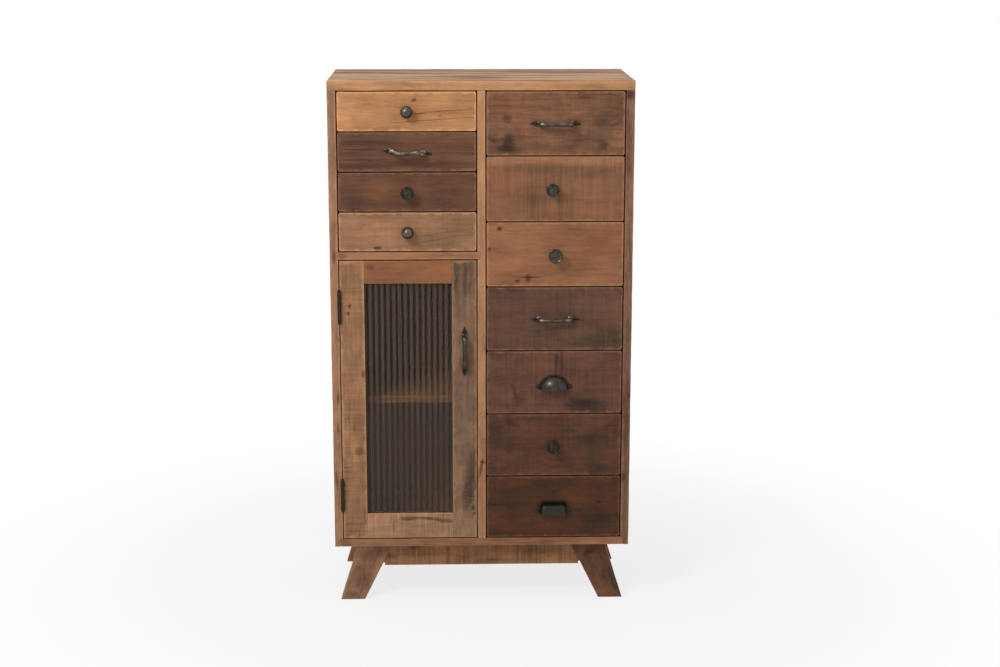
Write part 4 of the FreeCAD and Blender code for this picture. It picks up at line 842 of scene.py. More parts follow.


# Looks of the boards, read off the photograph

FRONT_LOOKS = {
    "left_drawer_1": Look("left_1", contrast=0.15, streak=0.35, rings=0.28, ring_gap=11, heart=(-52,
        -60), spots=(
        ("knot", 17, 26, 6, 4.5, 15, 0.75),
        ("crack", 29, -5, 16, 1.3, 2, 0.85),
        ("crack", 97, 2, 60, 1.1, 4, 0.75),
        ("crack", 60, -19, 105, 1.1, 4, 0.65),
        ("red", 27, -12, 10, 7, 0, 0.45),
        ("knot", 76, -9, 3.5, 3, 0, 0.40),
        ("pale", -143, 0, 19, 70, 0, 0.35))),
    "left_drawer_2": Look("left_2", contrast=0.26, stretch=1.6, streak=1.2, rings=0.30, ring_gap=8, heart=(-20,
        -95), spots=(
        ("grey", -90, 20, 62, 22, 0, 0.65),
        ("crack", -95, 6, 64, 1.6, 0, 0.65),
        ("crack", -98, 24, 50, 1.4, 0, 0.55),
        ("crack", -115, 17, 38, 1.1, 0, 0.45),
        ("glow", -140, -23, 16, 9, 0, 0.50),
        ("red", 20, -28, 120, 9, 0, 0.45),
        ("pale", 136, -41, 24, 3.2, 3, 0.70))),
    "left_drawer_3": Look("left_3", contrast=0.24, streak=0.4, rings=0.28, ring_gap=9, heart=(-30,
        -90), spots=(
        ("glow", -71, 2, 40, 34, 0, 0.12),
        ("ring", -71, 2, 32, 25, 0, 0.55),
        ("grey", -130, -12, 24, 26, 10, 0.75),
        ("knot", -120, -41, 10, 5, 0, 0.75),
        ("pale", -144, -41, 4, 3, 30, 0.80),
        ("red", 95, 22, 36, 14, 0, 0.35))),
    "left_drawer_4": Look("left_4", contrast=0.16, streak=0.3, rings=0.25, ring_gap=10, heart=(-60,
        -60), saw=0.14,
                          spots=(
        ("knot", -70, -37, 9, 3.6, 0, 0.95),
        ("crack", 60, -20, 62, 1.2, 11, 0.40),
        ("crack", 85, -2, 70, 1.2, 9, 0.38),
        ("glow", -60, 10, 90, 26, 4, 0.22),
        ("grey", 90, -14, 60, 22, 8, 0.35))),
    "right_drawer_1": Look("right_1", contrast=0.22, streak=0.45, blotch=0.7, rings=0.30,
        ring_gap=12, heart=(-70, -90), saw=0.16,
                           spots=(
        ("red", -120, 45, 40, 30, 0, 0.35),
        ("stain", -110, 12, 10, 9, 0, 0.70),
        ("stain", -107, -38, 11, 15, 0, 0.90),
        ("stain", -112, -57, 19, 9, 0, 0.90),
        ("stain", -138, -38, 24, 5, 0, 0.55),
        ("grey", 103, -16, 24, 46, 0, 0.95),
        ("stain", 101, 2, 17, 13, 0, 0.45),
        ("stain", 110, -50, 9, 10, 0, 0.60),
        ("knot", 134, -3, 9, 3.5, 25, 0.45),
        ("red", 142, 28, 9, 18, 15, 0.40),
        ("glow", -78, -20, 22, 12, 0, 0.22))),
    "right_drawer_2": Look("right_2", contrast=0.18, streak=0.2, rings=0.16, ring_gap=12,
        heart=(-80, -90), saw=0.55,
                           spots=(
        ("pale", 0, 67, 200, 13, 0, 0.95),
        ("grey", -20, 46, 95, 14, -3, 0.60),
        ("stain", 108, 42, 22, 6, 8, 0.25),
        ("stain", -55, -16, 34, 26, 0, 0.22),
        ("glow", 40, -55, 110, 18, 0, 0.18),
        ("red", -120, 20, 30, 50, 0, 0.25))),
    "right_drawer_3": Look("right_3", contrast=0.17, streak=0.3, rings=0.28, ring_gap=11,
        heart=(-76, -70), spots=(
        ("glow", -105, 0, 80, 60, 0, 0.20),
        ("red", 95, 22, 75, 42, 0, 0.30),
        ("knot", -128, 61, 5.5, 5, 0, 1.0),
        ("knot", -152, 13, 4.5, 3, 0, 0.85),
        ("red", -133, 9, 16, 3, -20, 0.50),
        ("crack", -60, -53, 27, 2.0, 0, 0.90),
        ("knot", -62, -55, 7, 9, 0, 0.75),
        ("knot", -87, -62, 6, 4, 0, 0.80),
        ("crack", 92, -35, 50, 1.5, 0, 0.45),
        ("crack", 110, -46, 44, 1.3, 0, 0.35),
        ("pale", 60, -62, 110, 11, 0, 0.18))),
    "right_drawer_4": Look("right_4", contrast=0.24, streak=0.2, rings=0.18, ring_gap=12,
        heart=(-80, -90), saw=0.38,
                           spots=(
        ("stain", -92, 70, 20, 7, 0, 0.50),
        ("grey", -40, 60, 70, 18, 0, 0.35),
        ("grey", 85, 66, 80, 9, 0, 0.35),
        ("pale", 85, 66, 80, 7, 0, 0.22),
        ("green", 104, -52, 66, 16, 0, 0.75),
        ("green", 136, -28, 14, 16, 0, 0.70),
        ("glow", 146, 30, 12, 30, 0, 0.40),
        ("red", -120, 0, 40, 60, 0, 0.25))),
    "right_drawer_5": Look("right_5", contrast=0.24, streak=0.2, rings=0.16, ring_gap=12,
        heart=(-80, -90), saw=0.36,
                           spots=(
        ("stain", 5, 52, 5, 26, 0, 0.75),
        ("stain", 17, 46, 4, 30, 0, 0.65),
        ("green", 40, 52, 12, 10, 0, 0.40),
        ("stain", 72, -50, 34, 9, 0, 0.75),
        ("stain", 78, -62, 44, 13, 0, 0.60),
        ("green", 95, -48, 44, 24, 0, 0.50),
        ("stain", -94, -20, 4, 18, 20, 0.50),
        ("stain", -82, -38, 14, 14, 25, 0.40),
        ("glow", -72, -64, 90, 5, 0, 0.55),
        ("pale", 153, -69, 6, 2.4, 10, 0.90))),
    "right_drawer_6": Look("right_6", contrast=0.26, streak=0.3, blotch=0.7, rings=0.18,
        ring_gap=12, heart=(-80, -90), saw=0.30,
                           spots=(
        ("stain", -138, 30, 16, 30, 0, 0.50),
        ("stain", -104, 58, 14, 8, -40, 0.50),
        ("green", -120, 0, 26, 18, 0, 0.50),
        ("glow", 90, 64, 66, 9, 0, 0.55),
        ("glow", -60, -30, 70, 40, -20, 0.25),
        ("stain", 38, 34, 16, 4, 0, 0.60),
        ("green", 92, -10, 14, 60, 0, 0.45),
        ("stain", 84, 8, 12, 7, 0, 0.40))),
    "right_drawer_7": Look("right_7", contrast=0.28, streak=0.35, blotch=0.7, rings=0.20,
        ring_gap=11, heart=(-80, -90), saw=0.16,
                           spots=(
        ("glow", -136, -2, 17, 12, 0, 0.60),
        ("glow", 90, 36, 60, 20, 0, 0.30),
        ("green", -86, 26, 40, 20, 0, 0.70),
        ("green", -100, -22, 24, 12, 0, 0.60),
        ("green", 110, -30, 50, 26, 0, 0.60),
        ("stain", -146, 4, 12, 2.5, 10, 0.70),
        ("knot", 108, 11, 6, 4, 0, 0.95),
        ("knot", 124, 12, 8, 3, 0, 0.45),
        ("glow", 134, 26, 8, 8, 0, 0.45),
        ("red", -60, -55, 110, 12, 0, 0.35))),
}
CASE_LOOKS = {
    "side_left": Look("side_left", contrast=0.18, rings=0.35, ring_gap=8, wear=0.30, spots=(
        ("crack", 0, 160, 3, 15, 0, 0.85),
        ("stain", 4, -175, 3, 15, 0, 0.70),
        ("stain", 3, -250, 3, 12, 5, 0.60),
        ("crack", -5, -364, 4, 30, 8, 0.60),
        ("grey", 0, 420, 12, 110, 0, 0.45))),
    "side_right": Look("side_right", contrast=0.24, rings=0.45, ring_gap=8, wear=0.30, spots=(
        ("stain", 0, 531, 14, 12, 0, 0.85),
        # The pale patch on the upper part and the dark patch on the lower part are painted light: lighter up
        # high and darker low, as light falls from above
        ("pale", 0, 360, 30, 200, 0, 0.75),
        ("stain", 0, -330, 30, 260, 0, 0.30),
        ("stain", -8, 468, 3, 70, 0, 0.35),
        ("stain", 5, 160, 3, 60, 3, 0.40),
        ("stain", -5, -372, 5, 10, 0, 1.0),
        ("red", 0, -260, 12, 120, 0, 0.35))),
    "divider": Look("divider", contrast=0.14, rings=0.30, ring_gap=9, wear=0.30, spots=(
        # The pale patch on the upper part and the dark patch on the lower part are painted light: lighter up
        # high and darker low, as light falls from above
        ("pale", 0, 420, 30, 160, 0, 0.20),
        ("stain", 0, -380, 30, 160, 0, 0.22),
        ("crack", -3, -360, 3.5, 26, -12, 0.85),
        ("knot", 3, -344, 8, 5, 0, 0.80),
        ("stain", 7, -300, 3, 22, 0, 0.50),
        ("red", 0, -400, 12, 70, 0, 0.30))),
    "door_head_rail": Look("rail", contrast=0.15, rings=0.30, ring_gap=9, wear=0.30, spots=(
        ("glow", -20, 0, 90, 12, 0, 0.15),
        ("stain", -150, 0, 8, 10, 0, 0.40))),
    "bottom_board": Look("bottom", contrast=0.22, rings=0.35, ring_gap=8, wear=0.30, spots=(
        ("stain", -330, 0, 20, 12, 0, 0.40),
        ("red", 110, 0, 180, 12, 0, 0.25),
        ("pale", 160, 4, 34, 4, 0, 0.35))),
}
SLAB_LOOK = Look("slab", contrast=0.18, rings=0.4, streak=0.6, spots=(
    ("pale", -40, 8, 420, 3, 0, 0.30),
    ("stain", -318, -10, 30, 5, 0, 0.30)))
SLAB_TOP_LOOK = Look("slab_top", contrast=0.27, rings=0.10, streak=0.8, blotch=1.3, grime=0.5,
                     stretch=3.0)
DOOR_LOOKS = {
    "door_stile_hinge": Look("stile_hinge", contrast=0.22, streak=0.35, rings=0.25, ring_gap=9,
        saw=0.26, spots=(
        ("stain", -6, 229, 3.5, 7, 0, 0.85),
        ("stain", -9, 211, 4, 4, 0, 0.90),
        ("knot", 27, 66, 7, 9, 0, 0.85),
        ("knot", 11, -121, 9, 11, 0, 0.60),
        ("stain", 0, -64, 3, 9, 0, 0.35),
        ("grey", -18, -150, 12, 40, 0, 0.45),
        ("stain", -22, -170, 12, 1.8, 0, 0.55),
        ("stain", -20, -186, 14, 1.6, 0, 0.50),
        ("stain", -18, -160, 10, 1.6, 0, 0.50),
        ("grey", -4, 268, 20, 10, 0, 0.45),
        ("grey", 8, -220, 20, 26, 0, 0.40),
        ("stain", 0, -300, 24, 1.5, 0, 0.40),
        ("stain", -6, -318, 20, 1.5, 0, 0.40),
        ("glow", 0, -60, 18, 90, 0, 0.15))),
    "door_stile_latch": Look("stile_latch", contrast=0.24, streak=0.35, blotch=0.8, rings=0.25,
        ring_gap=9, saw=0.14, spots=(
        ("stain", 2, 290, 4, 50, 0, 0.60),
        ("grey", -12, 200, 16, 80, 0, 0.40),
        ("stain", 6, 110, 5, 50, 4, 0.35),
        ("glow", -22, 130, 8, 60, 0, 0.35),
        ("grey", -6, -30, 24, 60, 0, 0.60),
        ("red", 12, -50, 6, 30, 8, 0.40),
        ("stain", 14, -190, 12, 70, -6, 0.60),
        ("stain", 4, -222, 14, 26, 8, 0.55),
        ("stain", 20, -262, 5, 5, 0, 0.80),
        ("stain", 22, -276, 4, 3.5, 0, 0.90),
        ("pale", -14, -215, 12, 95, 0, 0.30),
        ("pale", 0, -300, 30, 30, 0, 0.30))),
    "door_rail_top": Look("rail_top", contrast=0.13, streak=0.3, rings=0.30, ring_gap=10,
        heart=(-46, -40), spots=(
        ("knot", -87, 12, 11, 7, 0, 0.45),
        ("red", -60, 0, 40, 18, 0, 0.30),
        ("glow", 58, 14, 34, 12, -6, 0.35),
        ("ring", 100, 2, 18, 14, 0, 0.30))),
    "door_rail_low": Look("rail_low", contrast=0.20, streak=0.2, rings=0.20, ring_gap=9, saw=0.60,
        spots=(
        ("stain", -6, 17, 18, 4.5, 0, 0.85),
        ("stain", 38, 18, 30, 3.4, -3, 0.85),
        ("stain", 84, 11, 30, 4.5, -6, 0.75),
        ("glow", -90, 16, 60, 12, 0, 0.25),
        ("stain", -40, -2, 3, 14, 0, 0.30))),
}
BASE_LOOKS = {
    "leg_front_left": Look("leg_left", contrast=0.24, streak=0.25, rings=0.15, blotch=1.0, spots=(
        ("stain", -10, -30, 22, 18, 40, 0.45),
        ("stain", -40, -62, 18, 10, 0, 0.40),
        ("grey", 10, 30, 30, 26, 0, 0.40))),
    "leg_front_right": Look("leg_right", contrast=0.24, streak=0.25, rings=0.15, blotch=1.0, spots=(
        ("stain", -14, 46, 12, 8, 20, 0.70),
        ("stain", 10, 60, 34, 12, 0, 0.40),
        ("grey", 20, -20, 26, 26, 0, 0.40))),
    "apron_front": Look("apron", contrast=0.26, streak=0.4, rings=0.30, saw=0.60, spots=(
        ("knot", -165, 18, 10, 8, 0, 0.65),
        ("knot", -165, 20, 18, 14, 0, 0.25),
        ("stain", -222, -8, 16, 6, -10, 0.60),
        ("glow", -60, 0, 140, 14, 0, 0.20),
        ("stain", 130, 6, 60, 10, 0, 0.30))),
}
BASE_LOOK = Look("base", contrast=0.22, rings=0.35)
INSIDE_LOOK = Look("inside", contrast=0.18, rings=0.35, saw=0.12)
BOX_LOOK = Look("box", contrast=0.13, rings=0.35, wear=0.15)


# Operators: one for each piece or group of like pieces

class HUTCH_OT_case(bpy.types.Operator):
    """Makes the top, sides, divider, bottom board and the board above the door"""
    bl_idname = "hutch.case"
    bl_label = "Case boards"

    def execute(self, context):
        grains = {"side_left": "z", "side_right": "z", "divider": "z"}
        for seed, (node, look) in enumerate(CASE_LOOKS.items(), 40):
            board(node + "_board", node, look, seed, grains.get(node, "x"),
                  edged=node != "bottom_board", glued=1 if node == "door_head_rail" else 3)
        self.make_top()
        return {"FINISHED"}

    def make_top(self):
        """Two planks side by side, whose upper faces are greyer than their edges."""
        bm = copy_of("top_planks")
        low, high = span(bm.faces)
        place = ((low.x + high.x) / 2, low.y, (low.z + high.z) / 2)
        number_planks(bm)
        work_edges(bm)
        cut_across(bm, 0, bpy.context.scene.hutch_sizes.cut_step)
        weather(bm, 51)
        bm.normal_update()
        for face in bm.faces:
            face.material_index = int(face.normal.z > 0.8)
        looks = [pine("Pine front of the top", SLAB_LOOK, 51, place),
                 pine("Pine top", SLAB_TOP_LOOK, 52, place)]
        keep_faces_flat(make_piece("top_boards", bm, looks, "carcass",
                                   ["top_planks"]))


class HUTCH_OT_inside(bpy.types.Operator):
    """Makes the back boards and the shelf, and dresses the cleats, runners and screws"""
    bl_idname = "hutch.inside"
    bl_label = "Inside of the case"

    def execute(self, context):
        planks("back_planks", "back_boards", INSIDE_LOOK, 61)
        board("shelf_board", "shelf", INSIDE_LOOK, 62)
        cleat = pine("Pine cleats", INSIDE_LOOK, 63, (0, 0, 0), grain="y")
        beech = pine("Beech runners", Look("runner", contrast=0.08, rings=0.12, blotch=0.1, wear=0),
                     64, (0, 0, 0), grain="y")
        dress("shelf_cleats", cleat)
        dress("drawer_runners", beech)
        dress("carcass_screws", screw_steel())
        return {"FINISHED"}


class HUTCH_OT_base(bpy.types.Operator):
    """Makes the legs, the aprons and the side rails"""
    bl_idname = "hutch.base"
    bl_label = "Legs and aprons"

    def execute(self, context):
        low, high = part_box("leg_front_left")
        foot_to_top = (high.x - low.x) - 0.071
        lean = math.atan2(high.z - low.z, foot_to_top)
        for seed, (node, look) in enumerate(BASE_LOOKS.items(), 70):
            leaning = {"leg_front_left": lean, "leg_front_right": math.pi - lean}.get(node, 0.0)
            board(node + "_board", node, look, seed, "lean", edged=False,
                  lean=leaning)
        planks("legs_rear_boards", "legs_rear", BASE_LOOK, 75)
        planks("rails_rear", "base_rails", BASE_LOOK, 76)
        return {"FINISHED"}


class HUTCH_OT_fronts(bpy.types.Operator):
    """Makes the eleven drawer fronts, each from a board of its own"""
    bl_idname = "hutch.fronts"
    bl_label = "Drawer fronts"

    def execute(self, context):
        sizes = context.scene.hutch_sizes
        for seed, (drawer, look) in enumerate(FRONT_LOOKS.items(), 1):
            node = drawer + "_front"
            low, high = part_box(node)
            middle = (low + high) / 2
            size = high - low
            bm = bmesh.new()
            place = Matrix.Translation(middle) @ Matrix.Diagonal((*size, 1))
            bmesh.ops.create_cube(bm, size=1, matrix=place)
            corners = [edge for edge in bm.edges
                       if abs(edge.verts[0].co.y - edge.verts[1].co.y) > size.y / 2]
            bmesh.ops.bevel(bm, geom=corners, offset=sizes.corner_round, offset_type="OFFSET",
                            segments=4, profile=0.5, affect="EDGES", material=-1)
            work_edges(bm, shortest=0)
            cut_across(bm, 0, sizes.cut_step)
            cut_across(bm, 2, sizes.cut_step)
            weather(bm, seed)
            material = pine("Pine " + drawer.replace("_", " "), look, seed,
                            (middle.x, low.y, middle.z), (size.x / 2 / MM, size.z / 2 / MM))
            keep_faces_flat(make_piece(drawer + "_front_board", bm, [material],
                                       drawer, [node]))
        return {"FINISHED"}


class HUTCH_OT_boxes(bpy.types.Operator):
    """Makes the drawer boxes"""
    bl_idname = "hutch.boxes"
    bl_label = "Drawer boxes"

    def execute(self, context):
        for seed, drawer in enumerate(FRONT_LOOKS, 20):
            planks(drawer + "_box_boards", drawer + "_box", BOX_LOOK, seed)
        return {"FINISHED"}


def rub_and_highlight(bm, share):
    """Marks how bright each face is: rubbed by hands, and on knobs and bows also a painted highlight
    on faces that look up. share(middle, normal) is 0 to 1.
    """
    bm.normal_update()
    rubbed = bm.faces.layers.float.get("rubbed") or bm.faces.layers.float.new("rubbed")
    for face in bm.faces:
        face[rubbed] = max(0.0, min(1.0, share(face.calc_center_median(), face.normal)))


ROSE = [(0, 0), (11, 0), (11, 1.5), (10.2, 2.3), (8.4, 2.6), (7.2, 3.0), (6.1, 4.2), (5.3, 6.5)]
BALL = ROSE[:6] + arc((0, 15.9), 14.1, -61, 78, 22) + [(2.2, 29.9), (0, 30)]
FLAT_BACK = ROSE + [(5.2, 10), (5.5, 13.5), (7.5, 16.5), (11, 19.4), (14, 21.4)]
RINGED = FLAT_BACK + [(15.2, 22.6), (15.5, 24), (15.5, 26), (15.1, 27.4)] + arc(
    (13.6, 27.6), 1.4, 10, 170, 6) + [(11.8, 27.4)] + arc((9.9, 27.9), 1.6, 0, 180, 8) + [
    (7.8, 27.2), (4.4, 27.0)] + arc((0, 27.0), 3.0, 8, 90, 6)
RIMMED = FLAT_BACK + [(16.4, 22.8), (17, 24.4), (17, 26.6)] + arc((15.6, 28.6), 1.4, -20, 150, 8) + [
    (13.2, 28.0), (8, 27.2), (4.0, 27.4), (0, 27.6)]
# Each knob's profile, and how bright its iron is rubbed, with a painted highlight on its upper faces
KNOBS = {"left_drawer_1": (BALL, 0.26), "left_drawer_3": (RINGED, 0.07),
         "left_drawer_4": (BALL, 0.24), "right_drawer_2": (RINGED, 0.12),
         "right_drawer_3": (RIMMED, 0.12), "right_drawer_6": (RINGED, 0.03)}


class HUTCH_OT_knobs(bpy.types.Operator):
    """Turns the six knobs: two balls, three with rings and one with a rim"""
    bl_idname = "hutch.knobs"
    bl_label = "Knobs"

    def execute(self, context):
        iron = bpy.data.materials["Blackened cast iron"]
        for drawer, (profile, bright) in KNOBS.items():
            low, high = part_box(drawer + "_pull")
            x, z = (low.x + high.x) / 2, (low.z + high.z) / 2
            bm = bmesh.new()
            turned(bm, profile, Vector((x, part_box(drawer + "_front")[0].y, z)))
            bolt_behind(bm, x, z)
            bmesh.ops.recalc_face_normals(bm, faces=bm.faces)
            # Faces towards the front are rubbed by hands; faces that look up are lighter, a painted highlight
            # from above
            rub_and_highlight(bm, lambda middle, normal: bright * (0.5 + 0.5 * normal.z - 0.9 * normal.y))
            make_piece(drawer + "_knob", bm, [iron], drawer, [drawer + "_pull"],
                       smooth=45)
        return {"FINISHED"}


BOW_SPAN = 73
BOW_BEND = 12
BOW_REACH = 27
BOW_SCREWS = 90
LEAF_LENGTH = 28
LEAF_WIDTH = 12.5
LEAF_THICKNESS = 2.6
LEAF_WEAR = 0.30
SCREW_RADIUS = 3.8
BOW_TURNS = {"left_drawer_2": 3.5, "right_drawer_1": 0, "right_drawer_4": 0, "door": 90}
# Heights in mm of the one wrought grip that waves, which swells by a share for each mm up
BOW_BENT = {"left_drawer_2": [(-1, 3.6), (-0.5, -2.6), (0.05, -1.0), (0.6, 2.2), (1, -1.6)]}
STRAIGHT = [(-1, 0), (1, 0)]
BENT_SWELL = 0.06
# How bright each bow is rubbed, with the painted highlight on its upper faces
BOW_WEAR_AND_HIGHLIGHT = {"left_drawer_2": 1.6, "right_drawer_1": 0.85, "right_drawer_4": 0.75, "door": 0.4}
# Radius of a bow's leg at a height out of the front: a flared foot, a waist and a bead
BOW_LEG = [(0, 6.6), (2.4, 6.8), (3.4, 6.6), (4.6, 4.6), (6.2, 4.0), (7.4, 5.2), (8.6, 5.2), (9.8, 4.2)]


def swing(points, place):
    """Height at a place on a line of (place, height) points, eased from each point to the next."""
    for (start, low), (end, high) in zip(points, points[1:]):
        if place <= end:
            share = (place - start) / (end - start)
            return low + (high - low) * (1 - math.cos(math.pi * share)) / 2
    return points[-1][1]


def bow(bm, radius, bent):
    """A bow handle along x about the origin, its leaves on the plane y = 0 and its grip towards -y.
    bent says how far the grip is off their line, from its left end at -1 to its right end at 1."""
    grip_out = BOW_REACH - radius / MM
    foot = BOW_SPAN / 2
    stations = [(-foot, out, math.pi / 2, thick * MM) for out, thick in BOW_LEG]
    for step in range(1, 9):
        angle = math.pi / 2 * step / 8
        stations.append((-foot + BOW_BEND * (1 - math.cos(angle)),
                         grip_out - BOW_BEND * (1 - math.sin(angle)), math.pi / 2 - angle,
                         radius * (1.04 + 0.16 * math.sin(2 * angle))))
    for step in range(1, 8):
        share = step / 8
        stations.append((-foot + BOW_BEND + (BOW_SPAN / 2 - BOW_BEND) * share, grip_out, 0,
                         radius * (1.04 - 0.06 * math.sin(share * math.pi / 2))))
    half_way = (0, grip_out, 0, radius * 0.98)
    stations = stations + [half_way] + [(-x, out, -lean, thick)
                                        for x, out, lean, thick in reversed(stations)]
    rings = []
    for x, out, lean, thick in stations:
        rise = out / grip_out * swing(bent, x / foot)
        thick *= 1 + max(0, rise) * BENT_SWELL
        place = Matrix.Translation((x * MM, -out * MM, rise * MM)) @ Matrix.Rotation(-lean, 4, "Z")
        turn = Matrix.Rotation(math.pi / 2, 4, "Y")
        ring = bmesh.ops.create_circle(bm, cap_ends=False, segments=20, radius=thick,
                                       matrix=place @ turn)
        rings.append(once(edge for vert in ring["verts"] for edge in vert.link_edges))
    for first, second in zip(rings, rings[1:]):
        bmesh.ops.bridge_loops(bm, edges=first + second)
    bmesh.ops.holes_fill(bm, edges=[edge for edge in bm.edges if edge.is_boundary], sides=20)


def grip_wear_and_highlight(middle, normal):
    """How bright a bow is rubbed: most at the ends of its grip, and not at all on its screws. Faces
    that look up are lighter too, a painted highlight.
    """
    if math.hypot(abs(middle.x) - BOW_SCREWS / 2 * MM, middle.z) < SCREW_RADIUS * MM:
        return 0.0
    if middle.y > -1.2 * LEAF_THICKNESS * MM:
        return LEAF_WEAR
    near_end = min(1.0, abs(middle.x) / (BOW_SPAN / 2 * MM))
    # The share that grows with normal.z is a painted highlight on faces that look up
    return (0.40 + 0.60 * near_end ** 2) * (0.6 + 0.4 * normal.z)


def leaf(bm, side):
    """A pointed leaf-shaped end plate with a domed screw in it."""
    made = bmesh.ops.create_circle(bm, cap_ends=True, segments=44, radius=1)
    for vert in made["verts"]:
        angle = math.atan2(vert.co.y, vert.co.x)
        share = (1 - math.cos(angle)) / 2
        half = LEAF_WIDTH / 2 * math.sin(math.pi * share ** 0.85) ** 1.25 if 0 < share < 1 else 0
        x = BOW_SCREWS / 2 - LEAF_LENGTH / 2 + LEAF_LENGTH * share
        vert.co = Vector((side * x, 0, math.copysign(half, vert.co.y))) * MM
    base = once(face for vert in made["verts"] for face in vert.link_faces)
    raised = bmesh.ops.extrude_face_region(bm, geom=base, use_keep_orig=True)
    top = [item for item in raised["geom"] if isinstance(item, bmesh.types.BMVert)]
    for vert in top:
        vert.co.y -= LEAF_THICKNESS * MM
    rim = [item for item in raised["geom"] if isinstance(item, bmesh.types.BMEdge)]
    bmesh.ops.bevel(bm, geom=rim, offset=1.1 * MM, offset_type="OFFSET", segments=3, profile=0.5,
                    affect="EDGES", material=-1)
    head = [(0, 2.0), (3.4, 2.0), (3.4, 3.0), (2.7, 3.8), (1.7, 4.2), (1.2, 3.2), (0, 3.2)]
    turned(bm, head, Vector((side * BOW_SCREWS / 2 * MM, 0, 0)), 24)


class HUTCH_OT_bows(bpy.types.Operator):
    """Makes the four bow handles with leaf-shaped ends"""
    bl_idname = "hutch.bows"
    bl_label = "Bow handles"

    def execute(self, context):
        iron = bpy.data.materials["Blackened cast iron"]
        for body, degrees in BOW_TURNS.items():
            node = "door_handle" if body == "door" else body + "_pull"
            low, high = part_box(node)
            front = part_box("left_drawer_2_front")[0].y
            bm = bmesh.new()
            bow(bm, context.scene.hutch_sizes.grip_radius, BOW_BENT.get(body, STRAIGHT))
            for side in (-1, 1):
                leaf(bm, side)
            bmesh.ops.recalc_face_normals(bm, faces=bm.faces)
            rub_and_highlight(bm, lambda middle, normal: grip_wear_and_highlight(middle, normal) * BOW_WEAR_AND_HIGHLIGHT[body])
            place = Matrix.Translation(((low.x + high.x) / 2, front, (low.z + high.z) / 2))
            turn = Matrix.Rotation(math.radians(degrees), 4, "Y")
            bmesh.ops.transform(bm, matrix=place @ turn, verts=bm.verts)
            make_piece(body + "_bow", bm, [iron], body, [node], smooth=45)
        return {"FINISHED"}


def cup_screws(bm, places, front):
    """Domed screws in a cup pull's flange."""
    head = [(0, 1.8), (3.0, 1.8), (3.0, 2.6), (2.3, 3.1), (1.4, 3.3), (1.1, 2.5), (0, 2.5)]
    for x, z in places:
        turned(bm, head, Vector((x, front, z)), 24)


def plate(bm, centre, wide, high, thickness, cut):
    """Half an oval plate above the open edge of a cup, or a whole one as an ear."""
    before = set(bm.verts)
    bmesh.ops.create_circle(bm, cap_ends=True, segments=72, radius=1)
    rim = [vert for vert in bm.verts if vert not in before]
    for vert in rim:
        vert.co = centre + Vector((vert.co.x * wide, 0, vert.co.y * high)) * MM
    if cut:
        around = once(item for vert in rim for item in [vert, *vert.link_edges, *vert.link_faces])
        bmesh.ops.bisect_plane(bm, geom=around, dist=1e-6, plane_co=centre,
                               plane_no=(0, 0, -1), clear_outer=True)
    faces = [face for face in bm.faces if not any(vert in before for vert in face.verts)]
    raised = bmesh.ops.extrude_face_region(bm, geom=faces, use_keep_orig=True)
    for item in raised["geom"]:
        if isinstance(item, bmesh.types.BMVert):
            item.co.y -= thickness * MM
    rim = [item for item in raised["geom"] if isinstance(item, bmesh.types.BMEdge)]
    bmesh.ops.bevel(bm, geom=rim, offset=0.7 * MM, offset_type="OFFSET", segments=2, profile=0.5,
                    affect="EDGES", material=-1)


CUP_BALL = (38.5, 36, 37.5)
CUP_SUNK = 15
CUP_LIFT = 2.5
CUP_SCREWS = {"right_drawer_5": ((-37, 6), (37, 6), (0, 33)),
              "right_drawer_7": ((-36.5, 5), (36.5, 5))}


def round_cup(bm, centre, wall):
    """A quarter of an egg as the hood, and half an oval with two ears as its flange. centre is the
    middle of the open edge, on the front."""
    heart = centre + Vector((0, CUP_SUNK * MM, 0))
    bmesh.ops.create_uvsphere(bm, u_segments=72, v_segments=36, radius=1,
                              matrix=Matrix.Translation(heart)
                              @ Matrix.Diagonal([*(Vector(CUP_BALL) * MM), 1]))
    for place, normal in ((centre, (0, 1, 0)), (centre, (0, 0, -1))):
        bmesh.ops.bisect_plane(bm, geom=bm.verts[:] + bm.edges[:] + bm.faces[:], dist=1e-6,
                               plane_co=place, plane_no=normal, clear_outer=True)
    bmesh.ops.recalc_face_normals(bm, faces=bm.faces)
    bmesh.ops.solidify(bm, geom=bm.faces[:], thickness=wall)
    plate(bm, centre, 38.0, 35.4, 2.2, True)
    for (x, z), size in zip(CUP_SCREWS["right_drawer_5"], (5.6, 5.6, 3.4)):
        plate(bm, centre + Vector((x, 0, z)) * MM, size, size, 2.0, False)


